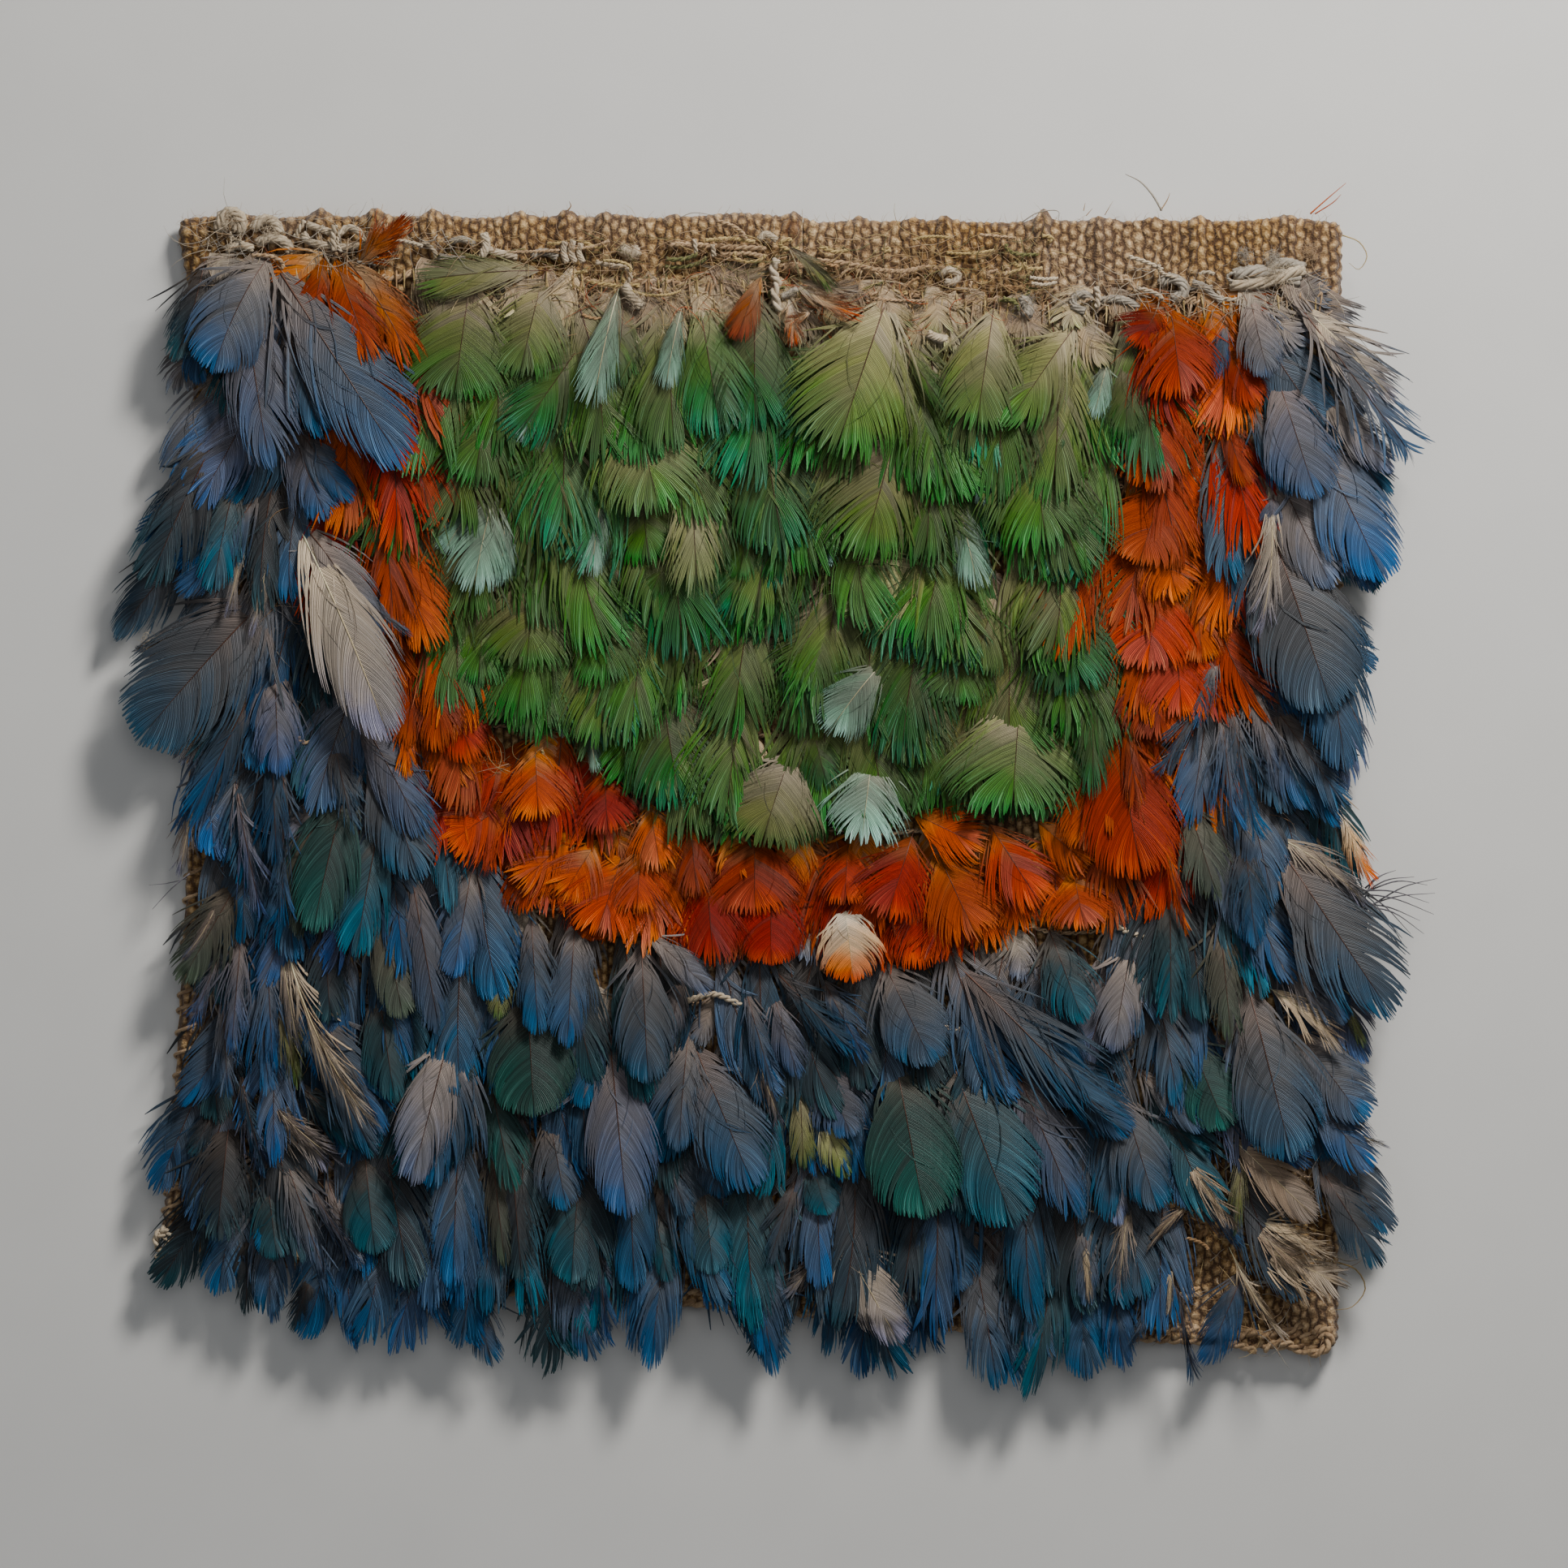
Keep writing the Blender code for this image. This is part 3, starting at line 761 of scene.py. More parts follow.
def lay_on_tunic(feather, across, along, above):
    """Bend the feather's plane along its shaft and lay it over the cloth."""
    length = feather["length"]
    share = np.linspace(-0.05, 1.12, 40)
    heading = feather["yaw"] + feather["bend"] * (share - 0.35)
    step = (share[1] - share[0]) * length
    line_x = feather["x"] + np.cumsum(np.sin(heading)) * step
    line_y = feather["y"] - np.cumsum(np.cos(heading)) * step
    start_x = np.interp(0, share, line_x) - feather["x"]
    start_y = np.interp(0, share, line_y) - feather["y"]
    at = along / length
    turn = np.interp(at, share, heading)
    x = np.interp(at, share, line_x) - start_x + across * np.cos(turn)
    y = np.interp(at, share, line_y) - start_y + across * np.sin(turn)
    below = np.maximum(feather["y"] - y, 0.3 * along)
    climb = CLIMB * below - CLIMB_EASE * below * below
    side = smooth((np.abs(x) - SIDE_DROOP_FROM) / SIDE_DROOP_OVER)
    past_hem = smooth((hem_y(x) - y) / HEM_DROOP_OVER)
    ground = cloth_top(x, y)
    z = ground + BLADE_LIFT + climb - SIDE_DROOP * side - HEM_DROOP * past_hem
    z += feather["lift"] * smooth(at / 0.42 + 0.18) + feather["roll"] * across + above
    z += feather["tip_lift"] * np.clip(at, 0, 1.2) ** 2
    over_cloth = (x > left_x(y)) & (x < right_x(y)) & (y > hem_y(x)) & (y < crest_y(x))
    lowest = np.where(over_cloth, ground + CLEAR_OF_CLOTH, CLEAR_OF_FLOOR)
    return np.stack([x, y, np.maximum(z, lowest)], 1)


SHAFT_TAPER = np.array([0.0042, 0.0034, 0.0024, 0.0008])
SHAFT_FROM, SHAFT_TO = -0.04, 0.9
SHAFT_HEIGHT = 0.05 * MM


def add_feather(piece, feather, draw):
    template = feather["vane"]
    across, along, above, random = vane_plane(template, feather, draw)
    places = lay_on_tunic(feather, across, along, above)
    barb_count = template["barb"] + 0.5 + 0.5 * template["edge"]
    plume = np.stack([along / feather["length"], template["v"], barb_count], 1)
    kind = feather["kind"]
    piece.add(template, places, FINISH[kind], plume, random, template["uv"])
    if template is DOWN_VANE:
        return

    share = np.linspace(SHAFT_FROM, SHAFT_TO, QUILL["steps"] + 1)
    shaft = lay_on_tunic(feather, np.zeros(len(share)), share * feather["length"],
                         np.full(len(share), SHAFT_HEIGHT))
    places = sweep(QUILL, shaft, feather["length"] * SHAFT_TAPER)
    random = np.full((len(places), 3), feather["chance"])
    quill = FINISH["quill_pale" if kind in PALE_QUILLED else "quill_dark"]
    uv = QUILL["uv"] * (1.0, 0.06) + (0.0, 0.93)
    piece.add(QUILL, places, quill, along_tube(QUILL), random, uv, new_cell=False)


# %% [markdown]
# ## The feather strings
# A string is a cord with feathers tied to it. The rows and their colour changes are
# those of the CAD strings, and each string's feathers make one piece that replaces its
# node. Under the feathers that the photograph shows lie plainer ones, which fill the
# rows. They are drawn at random with a fixed seed, in the kinds that their region has.

# %% Rows and regions
ROWS = 11
FIRST_ROW = ((-80, 68.6), (-48, 67.2), (0, 65.6), (40, 62.4), (80, 64.2))
LAST_ROW = ((-80, -53.6), (-20, -57.2), (40, -59.8), (80, -60.8))
ROW_START = -76.0
UPPER_NAMES = ("blue_left", "orange_left", "green_middle", "orange_right", "blue_right")
STRING_ENDS = {
    # row: x in mm where each of its strings ends on its right
    1: (-61.4, -48.6, 51.6, 64.6, 77.6), 2: (-59.8, -47.5, 49.4, 63.4, 78.0),
    3: (-57.6, -45.2, 48.2, 62.8, 78.0), 4: (-54.2, -43.0, 47.7, 62.2, 78.0),
    5: (-50.8, -40.2, 46.5, 60.0, 78.0), 6: (-45.6, -22.0, 44.4, 57.2, 78.0),
}
STRINGS = {row: list(zip(UPPER_NAMES, ends)) for row, ends in STRING_ENDS.items()}
STRINGS[1][3] = ("red_right", STRING_ENDS[1][3])
STRINGS[6][1] = ("red_left", STRING_ENDS[6][1])
STRINGS[7] = [("blue_left", -38.6), ("red_middle", 49.6), ("blue_right", 78.0)]
STRINGS.update({row: [("blue_whole", 78.0)] for row in (8, 9, 10)})
STRINGS[ROWS] = [("blue_whole", 52.0)]
KINDS = {
    # colour: kinds of plumage of the plain feathers, with more of the ones named twice
    "blue": ("slate", "steel", "slate", "violet", "deep_blue", "steel", "slate_dark", "teal"),
    "green": ("green", "green", "olive", "emerald"),
    "orange": ("orange", "orange", "red"),
    "red": ("red", "red", "coral", "dark_red"),
    "low_blue": ("slate", "steel", "slate_dark", "deep_blue", "deep_blue", "steel",
                 "slate_dark", "teal"),
}
# from this row down and as far as this x, the blue ground has the kinds of low_blue, with more of the
# dark ones: darker towards the bottom, partly painted shade
LOW_BLUE_ROW, LOW_BLUE_TO = 8, 30.0
SIZES = {
    # colour: length and width of a middling feather in mm
    "blue": (27.0, 10.5),
    "green": (27.0, 13.0),
    "orange": (25.0, 11.0),
    "red": (20.0, 13.0),
}
RAGGED = {"blue": (0.15, 0.75), "green": (0.35, 0.9), "orange": (0.5, 0.95), "red": (0.55, 1.0)}
DOWN = {"blue": "grey_down", "green": "down", "orange": "warm_down", "red": "warm_down"}
DOWN_PITCH = {1: 2.6}
POINTED = {"blue": 0.5, "green": 0.06, "orange": 0.25, "red": 0.05}
FANNED = {"blue": 0.0, "green": 0.75, "orange": 0.5, "red": 0.9}
PINCHED = {"blue": 0.36, "green": 0.12, "orange": 0.2, "red": 0.12}
ARCHED = {"blue": 1.0, "green": 0.45, "orange": 0.55, "red": 0.5}
PLAIN_DOWN_PITCH = 9.0
REGION_ENDS = {
    # colour: x and y in mm on the line where the feathers of the region end
    "green": ((-44, 9.0), (-35, 3.9), (-26, 1.7), (-15, -5.0), (-4, -11.2), (7, -11.2),
              (19, -7.3), (40, -7.3), (46, -1.1)),
    "red": ((-45, -13.4), (-35, -16.8), (-26, -22.4), (-8, -28.0), (7, -29.7), (28, -28.0),
            (36, -24.1), (50, -22.4)),
}
SHORTEST = 9.0
BARE_ROW, BARE_CORNER_X = 10, 53.0
SIDE_SHORTER = 0.28
LEFT_SLANT = 0.17
FILL_PITCH = 4.4
FAN = math.radians(28.0)
FAN_FROM, FAN_TO = 44.0, 80.0
FAN_SHARES = {
    # row: share of the fan on the left and on the right
    1: (0.45, 1.0), 2: (0.8, 1.0), 3: (1.0, 0.9), 4: (1.0, 0.6), 5: (1.0, 0.5),
    6: (0.5, 0.6), 7: (0.3, 1.0), 8: (0.3, 1.1), 9: (0.25, 1.0), 10: (0.4, 1.0),
    11: (0.5, 1.0),
}

LENGTHS = ("x", "y", "length", "width", "arch", "lift", "tip_lift")


def feather_plan(**numbers):
    """What a feather needs to know, with its lengths in metres."""
    return {name: value * MM if name in LENGTHS else value for name, value in numbers.items()}


def row_y(row, x):
    """A row's line on the cloth, in millimetres."""
    share = (row - 1) / (ROWS - 1)
    first = np.interp(x, *zip(*FIRST_ROW))
    last = np.interp(x, *zip(*LAST_ROW))
    return first * (1 - share) + last * share


def row_of(x, y):
    """The row whose line is nearest to a place in millimetres."""
    return min(range(1, ROWS + 1), key=lambda row: abs(row_y(row, x) - y))


def string_at(row, x):
    for name, end in STRINGS[row]:
        if x <= end:
            return name
    return STRINGS[row][-1][0]


def side_fan(row, x):
    share = FAN_SHARES[row][0 if x < 0 else 1]
    bend = float(smooth((abs(x) - FAN_FROM) / (FAN_TO - FAN_FROM)))
    return math.copysign(FAN * share * bend, x)


def fill_row(row, draw):
    """Plain feathers of one row, by string."""
    plans = {}
    last = STRINGS[row][-1][1]
    offset = 0.5 if row % 2 else 0.15
    count = int((last - ROW_START) / FILL_PITCH)
    for index in range(count):
        x = ROW_START + (index + offset) * FILL_PITCH + draw.uniform(-0.9, 0.9)
        y = row_y(row, x) + draw.uniform(-1.2, 1.2)
        string = string_at(row, x)
        colour = string.split("_")[0]
        if row == BARE_ROW and x > BARE_CORNER_X and index % 2:
            continue
        length, width = SIZES[colour]
        length *= draw.uniform(0.84, 1.08) * (1.15 if row == ROWS - 1 else 1.0)
        if colour in REGION_ENDS:
            room = y - np.interp(x, *zip(*REGION_ENDS[colour]))
            length = max(SHORTEST, min(length, room * draw.uniform(0.94, 1.06)))
        length *= 1 - SIDE_SHORTER * float(smooth((abs(x) - 60) / 16))
        slant = LEFT_SLANT if string == "orange_left" else 0.0
        mix = "low_blue" if row >= LOW_BLUE_ROW and x < LOW_BLUE_TO else colour
        plans.setdefault(string, []).append(feather_plan(
            x=x, y=y, length=length,
            width=min(width, 0.75 * length) * draw.uniform(0.85, 1.15),
            yaw=side_fan(row, x) + slant + draw.normal(0, 0.19), bend=draw.normal(0, 0.32),
            arch=draw.uniform(0.4, 1.0) * ARCHED[colour], roll=draw.normal(0, 0.07),
            lift=0.4 * (index % 3) - 0.65, tip_lift=draw.uniform(-0.5, 0.3),
            ragged=draw.uniform(*RAGGED[colour]), pinch=PINCHED[colour] * draw.uniform(0.1, 1.0),
            chance=draw.random(), kind=str(draw.choice(KINDS[mix])),
            point=POINTED[colour] * draw.uniform(0.5, 1.2), fan=FANNED[colour], vane=PLAIN_VANE,
        ))
    return plans


def down_row(row, draw):
    """Short downy feathers at the roots of one row, by string."""
    plans = {}
    for x in np.arange(ROW_START, STRINGS[row][-1][1], DOWN_PITCH.get(row, PLAIN_DOWN_PITCH)):
        x += draw.normal(0, 1.0)
        string = string_at(row, x)
        plans.setdefault(string, []).append(feather_plan(
            x=x, y=row_y(row, x) + draw.uniform(0.5, 3.0),
            length=draw.uniform(6.5, 10.5), width=draw.uniform(6.0, 9.5),
            yaw=side_fan(row, x) + draw.normal(0, 0.5), bend=draw.normal(0, 0.7),
            arch=draw.uniform(0.3, 0.9), roll=draw.normal(0, 0.08),
            lift=draw.uniform(-0.1, 0.7), tip_lift=draw.uniform(-0.8, 0.0),
            ragged=draw.uniform(0.8, 1.1), pinch=draw.uniform(0.1, 0.4),
            chance=draw.random(), kind=DOWN[string.split("_")[0]],
            point=0.2, fan=0.7, vane=DOWN_VANE,
        ))
    return plans


# %% [markdown]
# The photograph shows some feathers in full, and those are placed one by one, as
# they were read from it: the pixel where the feather starts, the pixel of its
# tip and its width in pixels, its kind, how high it lies among its neighbours in
# millimetres, how ragged it is, from 0 to 1, and how far it curves in degrees. One pixel
# is 0.112 mm, by the count of warps on the bare cloth, and one named pixel is the origin.

# %% Feathers that the photograph shows
PIXEL = 0.112
ORIGIN_PIXEL = (934, 940)
PLACED_LIFT = {"blue": 1.3, "green": 0.65, "orange": 0.8, "red": 0.8}
SPREAD = {"blue": 1.15, "green": 1.4, "orange": 1.3, "red": 1.35}


def on_cloth(pixel_x, pixel_y):
    """The place in millimetres of a pixel of the photograph."""
    return (pixel_x - ORIGIN_PIXEL[0]) * PIXEL, (ORIGIN_PIXEL[1] - pixel_y) * PIXEL


PLACED = (
    # root_x, root_y, tip_x, tip_y, width, kind, lift, ragged, and the curve of a curved one
    # left top blue
    (255, 318, 222, 452, 60, "slate_dark", 0.0, 0.5, -15),
    (300, 330, 335, 590, 105, "violet", 0.2, 0.5, 5), (333, 316, 505, 582, 115, "steel", 0.5, 0.3),
    (350, 385, 400, 545, 60, "steel", 0.8, 0.3, 5), (338, 310, 256, 462, 110, "slate", 1.3, 0.3, 20),
    (357, 517, 405, 645, 80, "violet", 0.0, 0.6, 5), (362, 520, 437, 622, 50, "steel", 0.2, 0.4),
    (282, 512, 180, 728, 85, "slate_dark", 0.0, 0.4, 5), (300, 560, 262, 735, 60, "teal", -0.2, 0.5, 5),
    (328, 597, 227, 742, 60, "deep_blue", 0.3, 0.5, -5),
    (330, 655, 318, 790, 30, "pale", 0.4, 0.7, -25), (305, 655, 283, 765, 14, "pale", 0.6, 0.6, -5),
    (370, 643, 480, 797, 70, "mauve", 1.5, 0.3, -25), (365, 640, 492, 915, 98, "pale", 1.9, 0.15, -8),
    (400, 700, 512, 788, 20, "mauve", 2.2, 0.2, 5),
    # left middle blue
    (430, 860, 532, 1035, 70, "violet", 1.0, 0.5, -10),
    (345, 722, 168, 915, 150, "slate", 0.3, 0.25, 5), (215, 790, 165, 803, 22, "pale", 0.2, 0.7),
    (330, 820, 232, 1020, 55, "deep_blue", 0.3, 0.5, 5), (240, 980, 224, 1082, 32, "pale", -0.3, 0.9),
    (340, 810, 347, 960, 72, "violet", 0.6, 0.5), (335, 885, 345, 1072, 45, "deep_blue", 0.7, 0.7),
    (352, 900, 352, 1150, 30, "steel", 0.6, 0.9), (290, 945, 325, 1135, 30, "violet", 0.7, 0.9, 5),
    (395, 970, 355, 1040, 25, "mauve", 0.5, 0.5, -40),
    (385, 985, 372, 1160, 50, "olive_grey", 0.5, 0.4),
    (437, 942, 385, 1152, 88, "teal_green", 0.8, 0.3, 5),
    (478, 978, 438, 1184, 78, "teal", 1.0, 0.4, 5), (452, 895, 522, 1088, 88, "slate", 0.6, 0.4),
    (410, 895, 440, 1030, 40, "slate", 1.2, 0.85, 5),
    (300, 1078, 225, 1212, 70, "olive_grey", 0.3, 0.5),
    (275, 1095, 232, 1190, 14, "pale", 0.8, 0.5, -30), (505, 1060, 545, 1275, 60, "violet", 0.3, 0.4),
    (470, 1108, 500, 1256, 62, "olive_grey", 0.6, 0.25),
    (400, 1120, 410, 1262, 62, "slate_dark", 0.2, 0.5), (585, 1055, 560, 1206, 64, "steel", 0.4, 0.4),
    (300, 1140, 288, 1300, 50, "violet", 0.3, 0.85), (330, 1150, 340, 1325, 45, "steel", 0.4, 0.8),
    (345, 1150, 372, 1300, 24, "pale", 0.7, 0.7),
    # orange left column
    (403, 312, 382, 420, 45, "orange", 0.6, 0.9), (412, 314, 462, 452, 70, "orange", 0.8, 0.7),
    (422, 316, 520, 450, 70, "warm_down", 1.0, 0.8, -25), (430, 400, 500, 530, 58, "orange", 0.3, 0.4),
    (455, 440, 521, 588, 58, "red", 0.5, 0.3, -5), (426, 575, 452, 652, 35, "red", 0.2, 0.8),
    (472, 585, 490, 792, 62, "orange", 0.5, 0.7), (482, 640, 535, 805, 78, "orange", 0.8, 0.4, 8),
    (520, 785, 500, 925, 50, "orange", 0.6, 0.5), (535, 785, 547, 928, 62, "orange", 0.9, 0.4),
    (548, 828, 586, 942, 60, "red", 0.8, 0.3), (500, 850, 505, 962, 34, "coral", 0.9, 0.8),
    # green yoke left half
    (675, 335, 510, 345, 45, "pale_olive", 1.0, 0.3, 10), (580, 350, 560, 500, 130, "green", 0.6, 0.2),
    (610, 440, 585, 605, 110, "green", 0.3, 0.5), (670, 340, 640, 470, 90, "olive", 0.5, 0.4),
    (735, 400, 632, 548, 75, "emerald", 0.8, 0.5), (690, 460, 640, 548, 25, "mint", 1.3, 0.4),
    (765, 350, 728, 508, 38, "mint", 1.4, 0.4, 8), (842, 375, 818, 485, 28, "mint", 1.4, 0.4, 8),
    (770, 370, 760, 480, 50, "green", 0.4, 0.5), (860, 360, 890, 545, 75, "emerald", 0.5, 0.3),
    (930, 350, 930, 540, 90, "emerald", 0.6, 0.35), (775, 465, 815, 640, 120, "olive", 0.8, 0.35),
    (690, 530, 655, 605, 80, "green", 0.2, 0.6), (560, 560, 510, 640, 60, "olive", 0.3, 0.5),
    (590, 615, 545, 685, 28, "mint", 1.0, 0.3), (612, 600, 582, 735, 60, "mint", 1.2, 0.45, 5),
    (625, 620, 618, 725, 30, "mint", 1.0, 0.5), (645, 610, 655, 690, 25, "emerald", 0.8, 0.5),
    (655, 610, 680, 695, 22, "emerald", 0.8, 0.5), (745, 590, 728, 715, 28, "mint", 1.2, 0.4, 5),
    (790, 580, 800, 700, 90, "green", 0.5, 0.5), (660, 690, 650, 830, 110, "olive", 0.6, 0.3),
    (600, 720, 590, 850, 70, "green", 0.3, 0.4), (740, 700, 750, 850, 90, "green", 0.5, 0.4),
    (755, 680, 775, 770, 30, "emerald", 0.9, 0.5), (840, 650, 800, 740, 60, "green", 0.7, 0.6),
    (935, 650, 895, 770, 50, "emerald", 0.6, 0.5), (850, 540, 860, 740, 60, "pale_olive", 0.6, 0.5),
    (965, 610, 955, 730, 35, "emerald", 0.7, 0.4), (940, 338, 905, 425, 32, "warm_down", 1.9, 0.4, 5),
    # green yoke right half
    (1097, 356, 1025, 570, 130, "olive", 1.0, 0.35), (1060, 420, 955, 535, 80, "emerald", 0.8, 0.5),
    (1100, 400, 1105, 520, 50, "pale_olive", 0.6, 0.5), (1105, 415, 1165, 510, 22, "green", 1.2, 0.4),
    (1225, 372, 1200, 540, 90, "olive", 0.9, 0.4), (1330, 395, 1235, 530, 80, "olive", 1.0, 0.5, 5),
    (1318, 460, 1305, 555, 45, "green", 0.6, 0.4), (1365, 440, 1345, 520, 25, "mint", 0.9, 0.5),
    (1365, 470, 1360, 560, 40, "emerald", 0.3, 0.5), (1390, 430, 1385, 545, 45, "green", 0.3, 0.4),
    (1110, 500, 1060, 700, 110, "olive", 0.6, 0.45, -5), (1150, 490, 1180, 625, 90, "green", 0.6, 0.5),
    (1210, 540, 1210, 625, 22, "mint", 1.0, 0.6), (1265, 500, 1290, 690, 110, "green", 0.6, 0.45),
    (1177, 605, 1205, 730, 40, "mint", 1.3, 0.5), (1015, 640, 1022, 700, 22, "mint", 0.6, 0.7),
    (1165, 690, 1030, 760, 70, "pale_olive", 0.8, 0.7, 10),
    (1235, 710, 1195, 830, 80, "olive", 0.8, 0.5), (1310, 700, 1320, 860, 100, "emerald", 0.5, 0.4),
    (1020, 740, 980, 850, 80, "green", 0.5, 0.5), (975, 600, 955, 720, 50, "green", 0.6, 0.5),
    (925, 620, 910, 720, 45, "green", 0.5, 0.5), (650, 760, 640, 905, 110, "green", 0.2, 0.4),
    (745, 745, 742, 925, 90, "olive", 0.5, 0.4), (705, 840, 693, 910, 12, "mint", 1.0, 0.4),
    (725, 890, 737, 955, 16, "mint", 1.0, 0.4), (810, 820, 840, 1000, 100, "emerald", 0.4, 0.5),
    (978, 920, 935, 1045, 110, "pale_olive", 1.5, 0.3, 5),
    (1000, 890, 1020, 975, 40, "emerald", 0.8, 0.6), (1075, 925, 1060, 1042, 85, "mint", 1.7, 0.7),
    (1092, 812, 1015, 905, 60, "mint", 1.7, 0.4, 12), (1120, 800, 1130, 950, 80, "olive", 0.5, 0.4),
    (1256, 852, 1245, 1008, 150, "green", 1.2, 0.5), (1345, 830, 1345, 985, 40, "emerald", 0.9, 0.6),
    (1200, 760, 1170, 870, 90, "green", 0.4, 0.4),
    # red and orange arc
    (640, 985, 545, 1042, 85, "red", 0.8, 0.5, 15), (635, 940, 560, 985, 60, "red", 0.6, 0.5, 10),
    (660, 915, 665, 1015, 80, "coral", 1.2, 0.6), (745, 945, 750, 1030, 65, "red", 1.0, 0.5),
    (655, 1010, 640, 1080, 50, "orange", 0.6, 0.5), (715, 1020, 635, 1095, 60, "coral", 1.0, 0.6),
    (740, 1030, 690, 1110, 70, "coral", 1.1, 0.6), (640, 1040, 670, 1120, 80, "orange", 0.0, 0.3),
    (770, 1045, 735, 1155, 95, "red", 0.8, 0.4), (790, 1040, 785, 1130, 60, "coral", 0.8, 0.5),
    (800, 985, 815, 1075, 55, "coral", 0.8, 0.7), (850, 1005, 860, 1110, 45, "orange", 0.8, 0.5),
    (930, 1020, 930, 1130, 110, "dark_red", 0.5, 0.15), (870, 1060, 880, 1195, 75, "red", 0.5, 0.5),
    (950, 1080, 950, 1190, 95, "red", 0.2, 0.3), (740, 1100, 730, 1160, 55, "orange", -0.3, 0.3),
    (1045, 1035, 1040, 1115, 60, "red", 0.8, 0.5), (1040, 1110, 1052, 1212, 92, "peach", 1.5, 0.5),
    (1125, 1025, 1090, 1135, 85, "red", 0.7, 0.4), (1120, 1000, 1215, 1045, 60, "coral", 0.8, 0.5),
    (1150, 1040, 1205, 1160, 90, "orange", 0.9, 0.5), (1120, 1080, 1140, 1195, 70, "red", 0.3, 0.4),
    (1215, 1010, 1285, 1120, 70, "red", 0.8, 0.5), (1320, 1068, 1335, 1146, 80, "coral", 1.5, 0.5),
    (1275, 1010, 1345, 1070, 55, "orange", 0.9, 0.5), (1340, 940, 1345, 1050, 80, "orange", 0.6, 0.4),
    # right orange column
    (1440, 375, 1455, 495, 100, "dark_red", 0.8, 0.6), (1430, 378, 1395, 430, 60, "dark_red", 0.8, 0.6),
    (1510, 425, 1545, 505, 45, "dark_red", 0.7, 0.5), (1500, 500, 1535, 605, 35, "orange", 0.5, 0.6),
    (1440, 470, 1415, 610, 100, "orange", 0.6, 0.4), (1435, 590, 1400, 700, 110, "orange", 0.6, 0.4),
    (1425, 640, 1450, 745, 90, "orange", 0.9, 0.7), (1430, 700, 1410, 830, 120, "red", 0.6, 0.4),
    (1470, 710, 1480, 820, 60, "orange", 0.4, 0.4), (1445, 760, 1455, 890, 90, "red", 0.5, 0.5),
    (1420, 800, 1430, 916, 100, "orange", 0.7, 0.5), (1465, 800, 1475, 892, 40, "orange", 0.9, 0.6),
    (1370, 880, 1405, 1086, 110, "dark_red", 0.9, 0.15),
    (1385, 870, 1400, 1000, 30, "orange", 1.3, 0.7),
    # right blue, upper
    (1538, 365, 1560, 470, 60, "mauve", 0.8, 0.4, 5), (1510, 395, 1498, 470, 20, "steel", 0.9, 0.4),
    (1592, 370, 1745, 575, 70, "slate", 1.3, 0.9), (1600, 375, 1720, 500, 80, "pale", 1.0, 0.95),
    (1620, 480, 1715, 586, 50, "mauve", 1.2, 0.4), (1570, 460, 1620, 620, 95, "violet", 0.9, 0.35),
    (1540, 500, 1590, 612, 45, "deep_blue", 0.7, 0.4), (1610, 520, 1705, 722, 105, "steel", 0.6, 0.3),
    (1615, 600, 1690, 732, 60, "violet", 0.3, 0.4), (1560, 640, 1640, 882, 150, "slate", 0.9, 0.2),
    (1620, 700, 1655, 955, 90, "steel", 0.4, 0.4), (1560, 590, 1560, 790, 30, "pale", 1.3, 0.8, -25),
    (1570, 605, 1560, 660, 30, "violet", 1.2, 0.5),
    # right blue, middle
    (1500, 800, 1470, 900, 30, "slate", 0.8, 0.95), (1505, 830, 1420, 960, 30, "slate", 0.8, 0.95, 5),
    (1500, 850, 1520, 1040, 40, "steel", 0.8, 0.85), (1510, 840, 1545, 1040, 35, "steel", 0.9, 0.85),
    (1535, 830, 1570, 960, 45, "mauve", 0.8, 0.9), (1560, 860, 1660, 1000, 55, "slate", 0.7, 0.8),
    (1570, 900, 1650, 1020, 50, "deep_blue", 0.3, 0.5), (1640, 985, 1690, 1095, 25, "peach", 0.4, 0.7),
    (1455, 970, 1500, 1112, 60, "olive_grey", 0.6, 0.7),
    (1530, 1020, 1545, 1170, 60, "deep_blue", 0.9, 0.55),
    (1565, 1030, 1715, 1255, 130, "slate", 1.2, 0.5),
    (1570, 1030, 1690, 1110, 40, "pale", 1.5, 0.85, -25),
    (1430, 1020, 1460, 1155, 18, "coral", 1.2, 0.7), (1440, 1080, 1440, 1262, 65, "teal", 0.7, 0.6),
    (1500, 1120, 1515, 1290, 60, "olive_grey", 0.6, 0.6),
    (1395, 1150, 1368, 1298, 60, "mauve", 0.9, 0.3), (1290, 1140, 1335, 1262, 75, "teal", 0.6, 0.5),
    (1560, 1150, 1640, 1262, 40, "mauve", 1.0, 0.8), (1590, 1150, 1655, 1262, 60, "violet", 0.5, 0.3),
    (1640, 1205, 1680, 1290, 18, "pale_olive", 0.6, 0.6),
    # bottom left
    (275, 1215, 285, 1355, 38, "slate", 0.3, 0.7), (275, 1170, 235, 1270, 22, "violet", 0.5, 1.0),
    (320, 1180, 335, 1350, 55, "steel", 0.5, 0.7), (345, 1215, 372, 1342, 28, "pale_olive", 0.9, 0.6),
    (370, 1230, 465, 1425, 60, "slate", 1.0, 0.6), (375, 1330, 447, 1416, 45, "teal", 1.1, 0.5),
    (385, 1225, 480, 1400, 70, "deep_blue", 0.6, 0.5), (465, 1200, 490, 1360, 60, "teal", 0.6, 0.3),
    (568, 1250, 530, 1466, 110, "steel", 1.2, 0.7, -5),
    (560, 1440, 582, 1562, 55, "deep_blue", 0.3, 0.5),
    (600, 1305, 635, 1470, 50, "teal_green", 0.6, 0.4),
    (650, 1210, 660, 1376, 115, "teal_green", 1.0, 0.1), (450, 1408, 465, 1546, 75, "teal", 0.9, 0.15),
